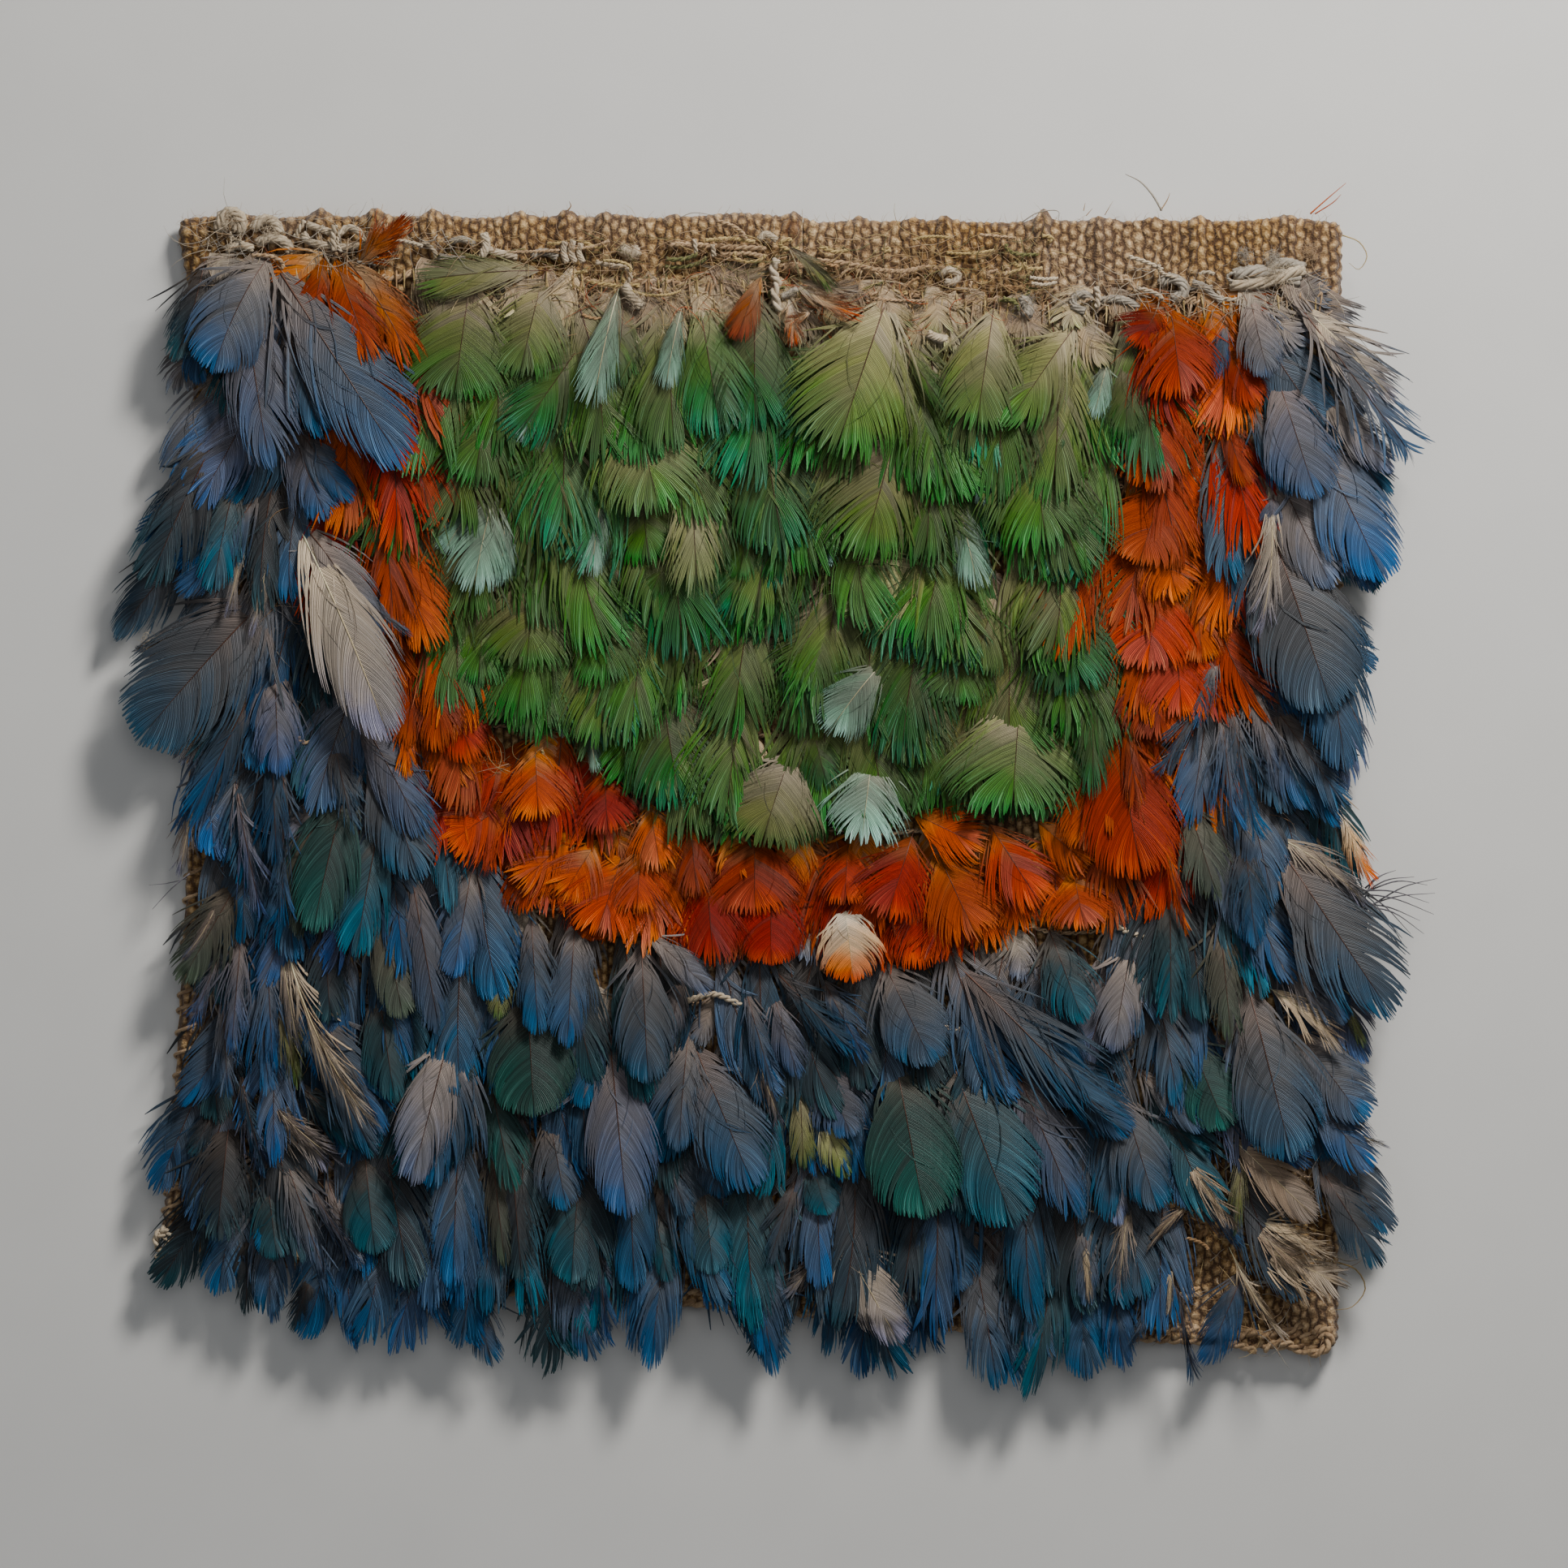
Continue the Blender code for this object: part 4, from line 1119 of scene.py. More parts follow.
    (400, 1440, 448, 1562, 40, "mauve", 0.7, 0.6), (300, 1340, 330, 1450, 35, "violet", 0.9, 0.9),
    (320, 1350, 420, 1440, 45, "pale", 0.9, 0.9, -15),
    (285, 1375, 270, 1532, 100, "slate_dark", 0.5, 0.7), (330, 1440, 345, 1552, 60, "teal", 0.6, 0.4),
    (345, 1400, 415, 1600, 45, "slate", 0.7, 0.6),
    (270, 1355, 238, 1425, 30, "slate_dark", 0.2, 0.5, -10),
    (310, 1500, 305, 1620, 45, "slate_dark", 0.0, 0.6),
    (335, 1520, 340, 1630, 35, "deep_blue", 0.1, 0.7),
    (390, 1560, 360, 1640, 35, "slate_dark", 0.0, 0.8),
    (450, 1540, 450, 1626, 50, "olive_grey", 0.1, 0.5),
    (490, 1520, 560, 1640, 40, "deep_blue", 0.2, 0.5), (580, 1560, 608, 1684, 45, "slate", 0.2, 0.5),
    # bottom middle
    (620, 1170, 615, 1258, 40, "pale_olive", 1.3, 0.7), (655, 1120, 665, 1276, 55, "steel", 0.9, 0.5),
    (710, 1125, 700, 1292, 70, "steel", 1.1, 0.5), (730, 1235, 720, 1366, 60, "steel", 0.6, 0.4),
    (790, 1150, 800, 1336, 80, "slate", 1.2, 0.2), (840, 1195, 825, 1290, 30, "mauve", 0.7, 0.5),
    (750, 1260, 775, 1502, 90, "violet", 0.8, 0.25), (675, 1360, 700, 1490, 65, "slate", 0.6, 0.4),
    (715, 1430, 705, 1582, 70, "teal", 0.6, 0.15), (605, 1400, 625, 1562, 45, "olive_grey", 0.2, 0.5),
    (630, 1400, 645, 1580, 45, "slate_dark", 0.2, 0.5), (805, 1385, 850, 1500, 40, "slate", 0.6, 0.6),
    (805, 1480, 825, 1580, 45, "teal", 0.3, 0.6), (850, 1262, 835, 1420, 60, "slate", 1.0, 0.4, 5),
    (852, 1278, 932, 1466, 110, "steel", 1.2, 0.4), (880, 1370, 890, 1476, 60, "slate", 0.5, 0.3),
    (865, 1440, 880, 1570, 65, "teal", 0.6, 0.2), (915, 1205, 955, 1346, 30, "steel", 1.2, 0.5),
    (950, 1215, 985, 1330, 40, "violet", 1.0, 0.5), (950, 1190, 1055, 1300, 45, "deep_blue", 1.2, 0.85),
    (1010, 1200, 1070, 1310, 50, "deep_blue", 1.0, 0.85), (795, 1145, 880, 1222, 40, "mauve", 2.0, 0.2),
    (920, 1270, 965, 1390, 35, "pale", 1.0, 0.9), (985, 1320, 990, 1440, 40, "pale_olive", 1.0, 0.6),
    (1010, 1370, 1045, 1452, 40, "pale_olive", 1.1, 0.5),
    (1010, 1300, 1050, 1402, 80, "violet", 0.8, 0.4), (1000, 1430, 1020, 1496, 50, "teal", 0.6, 0.3),
    (985, 1440, 945, 1560, 35, "slate", 0.5, 0.6), (930, 1470, 925, 1570, 45, "slate_dark", 0.2, 0.5),
    (1025, 1510, 970, 1602, 35, "pale", 0.5, 0.85, -25),
    (890, 1560, 935, 1630, 30, "deep_blue", 0.1, 0.7),
    (735, 1500, 750, 1660, 25, "deep_blue", 0.2, 0.7), (1085, 1178, 1150, 1313, 85, "slate", 1.4, 0.15),
    (1170, 1180, 1385, 1395, 90, "steel", 1.2, 0.8, -5),
    (1290, 1290, 1392, 1402, 70, "deep_blue", 1.3, 0.3),
    (1100, 1290, 1140, 1502, 125, "teal_green", 1.3, 0.15),
    (1165, 1288, 1250, 1512, 120, "teal", 1.0, 0.3), (1240, 1290, 1330, 1502, 80, "violet", 0.8, 0.5),
    (1375, 1330, 1425, 1492, 75, "slate", 0.9, 0.25), (1370, 1405, 1375, 1510, 40, "mauve", 0.5, 0.4),
    (1025, 1505, 1110, 1656, 70, "pale", 1.2, 0.3), (1105, 1560, 1160, 1666, 25, "deep_blue", 0.3, 0.6),
    (1150, 1480, 1175, 1596, 80, "deep_blue", 0.4, 0.3),
    (1255, 1500, 1270, 1612, 75, "slate_dark", 0.3, 0.5),
    (1335, 1490, 1340, 1610, 45, "slate", 0.5, 0.6), (1335, 1510, 1340, 1606, 16, "cream", 0.9, 0.5),
    (1390, 1460, 1375, 1600, 30, "pale", 0.6, 1.0),
    # bottom right
    (1395, 1310, 1482, 1395, 40, "slate", 0.9, 0.5),
    (1460, 1270, 1510, 1392, 90, "teal_green", 0.6, 0.3),
    (1532, 1200, 1590, 1432, 115, "slate", 1.4, 0.2),
    (1560, 1215, 1662, 1292, 40, "cream", 2.0, 0.9, -15),
    (1590, 1260, 1680, 1382, 90, "slate", 1.0, 0.4), (1600, 1330, 1690, 1442, 70, "steel", 0.9, 0.6),
    (1610, 1375, 1712, 1412, 12, "pale", 1.3, 0.7), (1470, 1330, 1615, 1436, 40, "deep_blue", 0.6, 0.3),
    (1420, 1370, 1490, 1422, 30, "teal", 0.7, 0.4), (1510, 1395, 1622, 1502, 55, "cream", 1.8, 0.15),
    (1620, 1430, 1702, 1562, 60, "slate", 1.0, 0.5),
    (1450, 1430, 1530, 1540, 40, "slate", 0.7, 0.8, 10),
    (1530, 1400, 1520, 1522, 25, "pale_olive", 0.8, 0.8),
    (1530, 1530, 1662, 1582, 80, "cream", 1.8, 0.95, -10),
    (1515, 1540, 1580, 1656, 18, "cream", 1.2, 0.6, 15),
    (1535, 1555, 1480, 1682, 50, "deep_blue", 0.4, 0.4),
    (1440, 1540, 1392, 1660, 25, "slate", 0.5, 0.9), (1440, 1545, 1440, 1622, 15, "cream", 1.0, 0.9),
    (1440, 1545, 1470, 1702, 20, "violet", 0.5, 0.8),
    # more strands low on the left
    (350, 1141, 450, 1405, 22, "cream", 1.3, 0.9, 28), (357, 1320, 467, 1424, 30, "teal", 1.3, 0.9, 10),
    (298, 1310, 329, 1450, 18, "deep_blue", 1.4, 0.9, 12),
    (322, 1340, 425, 1440, 22, "pale", 1.5, 1.0, 20),
    (377, 1440, 446, 1562, 22, "violet", 1.2, 0.9, 12), (563, 1245, 508, 1460, 78, "mauve", 1.4, 0.35),
    (1453, 1417, 1525, 1519, 28, "cream", 1.8, 0.85, 15),
    (1538, 1496, 1646, 1548, 42, "cream", 2.2, 1.0), (1534, 1506, 1612, 1566, 34, "cream", 2.0, 1.0),
    (1478, 1470, 1404, 1536, 14, "cream", 1.4, 0.8, 20),
    # the tuft that points up over the left shoulder, and cover for a gap on the right
    (432, 338, 508, 268, 34, "warm_down", 1.2, 0.85, -12),
    (440, 332, 496, 284, 30, "orange", 0.9, 0.9, -6), (1560, 560, 1640, 730, 80, "mauve", 0.0, 0.3),
    # strands that spread from the tie at the neck, and a narrow feather above them
    (976, 346, 1064, 400, 20, "peach", 2.0, 0.9, 45), (978, 344, 1062, 366, 18, "cream", 1.9, 0.95, 30),
    (1004, 382, 968, 402, 10, "peach", 2.2, 0.9, -30), (972, 366, 980, 432, 16, "peach", 2.0, 0.95),
    (966, 302, 1032, 358, 18, "pale_olive", 1.9, 0.6, -12),
)


def placed_feathers(draw):
    """The feathers listed one by one, by row and string."""
    plans = {}
    for root_x, root_y, tip_x, tip_y, width, kind, lift, ragged, *curve in PLACED:
        x, y = on_cloth(root_x, root_y)
        to_x, to_y = on_cloth(tip_x, tip_y)
        row = row_of(x, y)
        string = string_at(row, x)
        colour = string.split("_")[0]
        plans.setdefault((row, string), []).append(feather_plan(
            x=x, y=y, length=math.hypot(to_x - x, to_y - y),
            width=width * PIXEL * SPREAD[colour],
            yaw=math.atan2(to_x - x, y - to_y), bend=math.radians(sum(curve)),
            arch=draw.uniform(0.4, 1.1) * ARCHED[colour], roll=draw.normal(0, 0.05),
            lift=lift + PLACED_LIFT[colour], tip_lift=draw.uniform(-0.4, 0.3),
            ragged=ragged, pinch=PINCHED[colour] * ragged**1.5,
            chance=draw.random(), kind=kind,
            point=POINTED[colour] * (0.3 + ragged), fan=FANNED[colour], vane=FINE_VANE,
        ))
    return plans


def build_strings():
    placed = placed_feathers(np.random.default_rng(SEED))
    total = 0
    for row in range(1, ROWS + 1):
        draw = np.random.default_rng(SEED + row)
        fill = fill_row(row, draw)
        down = down_row(row, draw)
        for string, _ in STRINGS[row]:
            piece = Gather(f"plumes_{row:02d}_{string}")
            feathers = fill.get(string, []) + down.get(string, []) + placed.get((row, string), [])
            for feather in feathers:
                add_feather(piece, feather, draw)
                total += 1
            colour = string.split("_")[0]
            made = piece.close("feather_" + colour)
            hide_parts(f"string_{row:02d}_{string}")
    return total


print("feathers:", build_strings())

# %% [markdown]
# ## The cloth
# The web is a coarse plain weave of handspun cotton in which the warp shows: every
# crossing is a bead of yarn, and beads of neighbouring warps are set half a repeat
# apart. A grid in the outline of the CAD panel takes its height from the measured
# face. Near the shoulder and the hem, where the cloth is bare, its rows are close
# enough for the beads to be real relief; the outermost ones stand out a little, and
# the corners are drawn in to round ones. Elsewhere the finish carries the weave alone.
# The finish also has the cloth's slow changes of colour and one small stain.

# %% Weave
WARP_PITCH = 1.2 * MM
WEFT_REPEAT = 1.55 * MM
UNEVEN = (
    # order of x and y, height and length of a wave along the first of them, and how far a
    # wave along the second bends it, with that one's length; lengths in mm
    ("xy", 0.34, 6.1, 1.3, 9.7), ("yx", 0.26, 3.7, 2.1, 5.3), ("yx", 0.19, 0.47, 2.7, 0.83),
)
BEAD = 0.4 * MM
BEAD_DIP, BEAD_ROUND, COLUMN_ROUND = 0.35, 0.8, 0.85
BEAD_SINK = 0.25
SELVEDGE_BUMP = 0.26 * MM
SELVEDGE_DEEP = 0.8 * MM
HEM_CORNER, FOLD_CORNER = 2.6 * MM, 1.3 * MM
BAND_DEEP = 17.0 * MM
HEM_DEEP = 19.0 * MM
WEB_LENGTH = 150.0 * MM
EDGE_ROUND, SLIT_ROUND = 1.1 * MM, 0.25 * MM
EDGE_SHARE = 0.25
RELIEF_ENDS = 3.0 * MM
SLIT_LIP = 0.05 * MM
SLIT_DRIFT = 9.0 * MM
RIB_WIDTH, RIB_ENDS = 1.0 * MM, 2.0 * MM
CREST_BUMP = 1.1
STAIN_PLACE = on_cloth(975, 284)
STAIN_RADIUS = 1.9 * MM
STAIN_COLOUR = (112, 66, 30)
STAIN_SHARE = 0.62
RIBS = (
    # x, how far it runs down from the fold, and how high it rises, in mm
    (-72.8, 4.0, 0.6), (-60.4, 3.5, 0.6), (-52.9, 4.5, 0.7), (-45.0, 4.0, 0.7), (-32.9, 3.5, 0.5),
    (-26.5, 4.5, 0.6), (-21.2, 4.0, 0.6), (-11.6, 3.5, 0.5), (4.9, 4.0, 0.7), (14.0, 4.5, 0.4),
    (25.6, 6.5, 0.8), (39.3, 8.0, 0.95), (46.6, 5.5, 0.5), (60.5, 6.5, 0.5), (73.0, 8.0, 0.4),
)


def handspun(x, y):
    """Unevenness of the yarns' places, as a sum of bent waves."""
    drift = 0.0
    for order, height, long, bend, bend_long in UNEVEN:
        a, b = (x, y) if order == "xy" else (y, x)
        bent = bend * np.sin(b / (bend_long * MM))
        drift = drift + height * MM * np.sin(a / (long * MM) + bent)
    return drift


def weave_numbers(x, y):
    """How many warps to the right, and how many repeats up, a place on the cloth is."""
    return (x + handspun(x, y)) / WARP_PITCH, (y + 0.6 * handspun(y, x)) / WEFT_REPEAT


def weave_height(warps, repeats):
    """Height of the yarn beads as a share; sines of whole numbers make some beads plumper."""
    warp = np.floor(warps)
    turn = repeats + 0.5 * (warp % 2)
    side = np.abs(np.sin(math.pi * warps))
    bead = 0.5 + 0.5 * np.cos(math.tau * turn)
    which = np.floor(turn + 0.5)
    plump = 0.5 + 0.5 * np.sin(warp * 12.9 + which * 78.2 + 3.0 * np.sin(warp * 4.1 + which * 1.7))
    stands_out = 0.78 + 0.3 * np.sin(warp * 7.3 + 2.0 * np.sin(warp * 3.1))
    dive = BEAD_DIP + (1 - BEAD_DIP) * bead**BEAD_ROUND
    return (0.45 + 0.55 * plump) * stands_out * side**COLUMN_ROUND * dive


def outward_of(x, y):
    """Minus one on the cloth's left half and one on its right half."""
    return np.where(x > (left_x(y) + right_x(y)) / 2, 1.0, -1.0)


def round_corners(x, y, side, depth, above):
    """Draw the cloth's square corners in to round ones; side is its distance from a side edge."""
    at_hem = above < depth
    radius = np.where(at_hem, HEM_CORNER, FOLD_CORNER)
    u = np.clip(1 - side / radius, 0, 1)
    v = np.clip(1 - np.minimum(above, depth) / radius, 0, 1)
    squeeze = radius * (1 - np.maximum(u, v) / np.maximum(np.hypot(u, v), 1e-6))
    return x - outward_of(x, y) * u * squeeze, y + np.where(at_hem, 1.0, -1.0) * v * squeeze


def bump_selvedge(x, y, side, depth, warps, repeats):
    """Push the outermost beads of the sides and of the fold a little outwards."""
    beads = 0.5 + 0.5 * np.cos(math.tau * repeats)
    columns = np.abs(np.sin(math.pi * warps))
    out = SELVEDGE_BUMP * outward_of(x, y) * beads * np.exp(-side / SELVEDGE_DEEP)
    return x + out, y + SELVEDGE_BUMP * columns * np.exp(-depth / SELVEDGE_DEEP)


def rib_height(x, depth):
    """Narrow ridges that the cloth has near its fold."""
    height = np.zeros_like(x)
    for middle, reach, rise in RIBS:
        ridge = np.exp(-(((x - middle * MM) / RIB_WIDTH) ** 2))
        height += rise * MM * ridge * (1 - smooth((depth - reach * MM) / RIB_ENDS))
    return height


def bead_nodes(warps, repeats):
    """The weave's height as nodes, and the whole numbers of its warp and of its bead."""
    column = math_node("FLOOR", warps)
    turn = scaled(math_node("PINGPONG", column, 1.0), 0.5, repeats)
    side = math_node("SINE", product(warps, math.pi))
    side = math_node("POWER", math_node("ABSOLUTE", side), COLUMN_ROUND)
    bead = math_node("COSINE", product(turn, math.tau))
    bead = math_node("POWER", scaled(bead, 0.5, 0.5), BEAD_ROUND)
    bead = scaled(bead, 1 - BEAD_DIP, BEAD_DIP)
    return product(side, bead), column, math_node("ROUND", turn)


def spot_share(tree):
    """How strongly a place on the cloth is stained: most in the spot's middle, 0 outside it."""
    flat = node(tree, "VectorMath", operation="MULTIPLY", Vector=object_place(tree))
    flat.inputs[1].default_value = (1.0, 1.0, 0.0)
    away = node(tree, "VectorMath", operation="DISTANCE", Vector=flat.outputs["Vector"])
    away.inputs[1].default_value = (STAIN_PLACE[0] * MM, STAIN_PLACE[1] * MM, 0.0)
    fade = node(
        tree, "MapRange", interpolation_type="SMOOTHSTEP", Value=away.outputs["Value"],
        From_Min=STAIN_RADIUS, From_Max=0.2 * STAIN_RADIUS,
    )
    return product(fade.outputs["Result"], STAIN_SHARE)


# what the fuzz, the beads' height and the random numbers add to the shade of the cotton
FUZZ_SHADE = (1.3, -0.62)
HEIGHT_SHADE, ONE_BEAD_SHADE, ONE_WARP_SHADE = 0.88, 0.22, 0.26
SHADE_LOWERED = 0.42
CLOUD_SATURATION, CLOUD_VALUE = (0.8, 0.6), (-0.5, 1.25)
FUZZ_RELIEF = 0.9


def cotton_finish(name, base, shadow, light):
    material, tree, shader = new_finish(
        name, Roughness=0.92, Specular_IOR_Level=0.15, Sheen_Weight=0.25, Sheen_Roughness=0.6
    )
    warps, repeats, _ = channels(tree, "weave")
    height, column, bead = bead_nodes(warps, repeats)
    which = node(tree, "CombineXYZ", X=column, Y=bead).outputs["Vector"]
    fuzz = object_noise(tree, 3600.0, 5.0)
    cloud = object_noise(tree, 55.0, 4.0)

    shade = scaled(fuzz, *FUZZ_SHADE)
    shade = scaled(height, HEIGHT_SHADE, shade)
    shade = math_node("SUBTRACT", shade, SHADE_LOWERED)
    shade = scaled(random_of(which, "Vector", "2D"), ONE_BEAD_SHADE, shade)
    shade = scaled(random_of(column), ONE_WARP_SHADE, shade)
    colour = ramp_colour(shade, (0.0, 0.45, 1.0), (shadow, base, light))
    saturation, value = scaled(cloud, *CLOUD_SATURATION), scaled(cloud, *CLOUD_VALUE)
    colour = tinted(colour, Saturation=saturation, Value=value)
    colour = mixed(spot_share(tree), colour, paint(STAIN_COLOUR))
    finish_with(shader, colour, scaled(fuzz, FUZZ_RELIEF, height), 0.9, 0.3 * MM)
    return material


COTTON = cotton_finish("cotton_web", (160, 126, 82), (82, 56, 32), (226, 194, 146))

# %% [markdown]
# A web is one closed shell. Its face is a grid, laid into the outline that the rays
# have measured. Two of the grid's columns are brought to the lips of the neck slit, the
# faces between them are taken out, and walls and an underside close the shell.

# %% The two webs


def web_grid(low, high, column_step, band_step, middle_step):
    """A flat grid with close rows near the fold and the hem, and its rows laid on the cloth."""
    columns = int((high.x - low.x) / column_step)
    depths = np.arange(0, BAND_DEEP, band_step)
    ups = np.arange(0, HEM_DEEP, band_step)[::-1]
    middle = max(2, int((WEB_LENGTH - BAND_DEEP - HEM_DEEP) / middle_step))
    rows = len(depths) + middle + len(ups)
    bm = bmesh.new()
    bmesh.ops.create_grid(bm, x_segments=columns, y_segments=rows - 1, size=0.5)
    bm.verts.ensure_lookup_table()
    place = np.array([vert.co for vert in bm.verts])
    share = place[:, 0] + 0.5
    row = np.rint((0.5 - place[:, 1]) * (rows - 1)).astype(int)
    x_rough = low.x + 2 * MM + (high.x - low.x - 3 * MM) * share
    crest, hem = crest_y(x_rough), hem_y(x_rough)
    between = np.clip((row - len(depths) + 1) / (middle + 1), 0, 1)
    top, bottom = crest - depths[-1], hem + ups[0]
    y = top + (bottom - top) * between
    is_band = row < len(depths)
    y[is_band] = crest[is_band] - depths[row[is_band]]
    is_hem = row >= rows - len(ups)
    y[is_hem] = hem[is_hem] + ups[row[is_hem] - (rows - len(ups))]
    return bm, columns, row, share, y


def columns_at_slit(columns, row, share, y):
    """Each vertex's x, with two columns at the slit's lips, and which vertices lie on them."""
    width = right_x(y) - left_x(y)
    x = left_x(y) + width * share
    column = np.rint(share * columns).astype(int)
    lip = column[(row == 0) & (x <= SLIT_X)].max()
    drift = SLIT_X - (left_x(y) + width * (lip + 0.5) / columns)
    x = x + drift * np.exp(-(((x - SLIT_X) / SLIT_DRIFT) ** 2))
    on_lips = ((column == lip) | (column == lip + 1)) & (crest_y(x) - y < SLIT_DEEP)
    at_lip = SLIT_X + np.where(column == lip, -SLIT_LIP, SLIT_LIP)
    return np.where(on_lips, at_lip, x), on_lips


def web_places(x, y, low, high, bead):
    """Places on the panel's face with its beads, ribs and round edges, and the weave's numbers."""
    face = cloth_top(x, y) if bead else np.full(len(x), high.z)
    depth, above = crest_y(x) - y, y - hem_y(x)
    side = np.minimum(x - left_x(y), right_x(y) - x)
    inward = np.minimum(side, np.minimum(depth, above))
    from_slit = np.hypot(np.abs(x - SLIT_X) - SLIT_LIP, np.clip(depth - SLIT_DEEP, 0, None))
    inward = np.minimum(inward, SLIT_ROUND + from_slit)
    rounding = np.sqrt(np.clip(1 - (1 - np.clip(inward / EDGE_ROUND, 0, 1)) ** 2, 0, 1))
    past = np.minimum(depth - BAND_DEEP, above - HEM_DEEP)
    fade = 1 - smooth((past + RELIEF_ENDS) / RELIEF_ENDS)
    warps, repeats = weave_numbers(x, y)
    relief = bead * (BEAD * weave_height(warps, repeats) * fade + rib_height(x, depth))
    body = (face - low.z - BEAD_SINK * bead * BEAD) * (EDGE_SHARE + (1 - EDGE_SHARE) * rounding)
    z = low.z + body + relief * rounding
    y = y + CREST_BUMP * rib_height(x, depth + RIB_ENDS)
    if bead:
        x, y = bump_selvedge(x, y, side, depth, warps, repeats)
    x, y = round_corners(x, y, side, depth, above)
    return np.stack([x, y, z], 1), np.stack([warps, repeats, fade], 1)


def close_shell(bm, on_lips, floor_z):
    """Open the slit between its lips, and add the walls and the underside."""
    lips = {vert for vert, is_lip in zip(bm.verts, on_lips) if is_lip}
    gap = [face for face in bm.faces if all(vert in lips for vert in face.verts)]
    bmesh.ops.delete(bm, geom=gap, context="FACES")
    rim = [edge for edge in bm.edges if edge.is_boundary]
    walls = bmesh.ops.extrude_edge_only(bm, edges=rim)["geom"]
    for thing in walls:
        if isinstance(thing, bmesh.types.BMVert):
            thing.co.z = floor_z
    loop = [thing for thing in walls if isinstance(thing, bmesh.types.BMEdge) and thing.is_boundary]
    under = bmesh.ops.edgeloop_fill(bm, edges=loop)["faces"]
    bmesh.ops.recalc_face_normals(bm, faces=bm.faces[:])
    for face in bm.faces:
        face.smooth = face not in under


def web(name, node_name, column_step, band_step, middle_step, bead):
    """A closed shell in the outline of a CAD panel, with its face as a grid."""
    low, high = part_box(node_name)
    bm, columns, row, share, y = web_grid(low, high, column_step, band_step, middle_step)
    x, on_lips = columns_at_slit(columns, row, share, y)
    places, numbers = web_places(x, y, low, high, bead)
    layer = bm.verts.layers.float_vector.new("weave")
    for vert, place, at in zip(bm.verts, places, numbers):
        vert.co = place
        vert[layer] = at
    close_shell(bm, on_lips, low.z)
    mesh = mesh_from(bm, name)
    mesh.materials.append(COTTON)
    piece = into_scene(name, mesh)
    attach(piece, "root")
    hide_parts(node_name)
    return piece


front_web = web("front_web", "front_panel", 0.4 * MM, 0.4 * MM, 2.4 * MM, 1.0)
back_web = web("back_web", "back_panel", 1.6 * MM, 1.2 * MM, 6.0 * MM, 0.0)
print("faces of the front web:", len(front_web.data.polygons),
      "of the back web:", len(back_web.data.polygons))

# %% [markdown]
# ## Yarns, cords and loose fibres
# The cords and the tight ties are two-ply cotton yarn: two strands wound round each
# other, which is what gives a yarn its beads. Both strands are swept along the same
# smooth route, half a turn apart. Old yarn also frays, so thin curling fibres stand off
# the shoulder fold and gather where the first string is tied on.

# %% Yarn finishes
YARNS = {
    # name: colour in the shade and in the light
    "cotton": ((118, 88, 60), (218, 188, 150)),
    "white": ((142, 124, 100), (226, 210, 184)),
    "tan": ((110, 78, 48), (204, 166, 120)),
    "grey": ((112, 104, 94), (196, 186, 170)),
    "straw": ((136, 112, 66), (218, 192, 134)),
    "olive": ((70, 70, 38), (142, 142, 88)),
    "orange": ((150, 66, 24), (212, 108, 50)),
    "barb": ((58, 56, 62), (128, 126, 134)),
}
YARN_FUZZ = (1.1, -0.25)
STRAND_SHADE = 0.35


def yarn_finish(name):
    material, tree, shader = new_finish(
        "yarn_" + name, Roughness=0.9, Specular_IOR_Level=0.15, Sheen_Weight=0.12,
        Sheen_Roughness=0.6,
    )
    fuzz = object_noise(tree, 2200.0, 4.0)
    shade = scaled(fuzz, *YARN_FUZZ)
    shade = scaled(channels(tree, "chance")[0], STRAND_SHADE, shade)
    colour = ramp_colour(shade, (0.0, 1.0), YARNS[name])
    finish_with(shader, colour, fuzz, 0.6, 0.12 * MM)
    return material


YARN = {name: yarn_finish(name) for name in YARNS}
print("yarn finishes:", len(YARN))

# %% Strands and yarns
TWIST, SLACK_TWIST = 4.6, 11.0
# of a tight yarn of two plies and of a slack one: a ply's radius, and how far out it winds
TIGHT_PLY, SLACK_PLY = (0.58, 0.52), (0.42, 0.62)
STEPS_A_TURN = 7
ROUTE_POINTS = 240
WISP_STEPS = 6
TUBES = {}


def tube(sides, steps):
    """A tube template of the wanted fineness, made once."""
    if (sides, steps) not in TUBES:
        TUBES[sides, steps] = tube_template(sides, steps)
    return TUBES[sides, steps]


def add_strand(piece, template, path, radius, finish, draw):
    """One round strand, with random numbers of its own for its colour."""
    places = sweep(template, path, np.atleast_1d(radius))
    chance = np.tile(draw.random(3), (len(places), 1))
    piece.add(template, places, YARN[finish], along_tube(template), chance, template["uv"])


def over_cloth(pixel_x, pixel_y, height):
    """A place in metres: a pixel of the photograph and a height over the cloth in millimetres."""
    x, y = on_cloth(pixel_x, pixel_y)
    return np.array([x * MM, y * MM, float(cloth_top(x * MM, y * MM)) + height * MM])


def across_line(line):
    """Two directions at right angles to a line, at each of its points."""
    forward, across, length = directions(line)
    across = across / (length + 1e-9)
    return across, np.cross(across, forward)


def route_length(points):
    rough = curve_through(points, ROUTE_POINTS)
    return np.linalg.norm(np.diff(rough, axis=0), axis=1).sum()


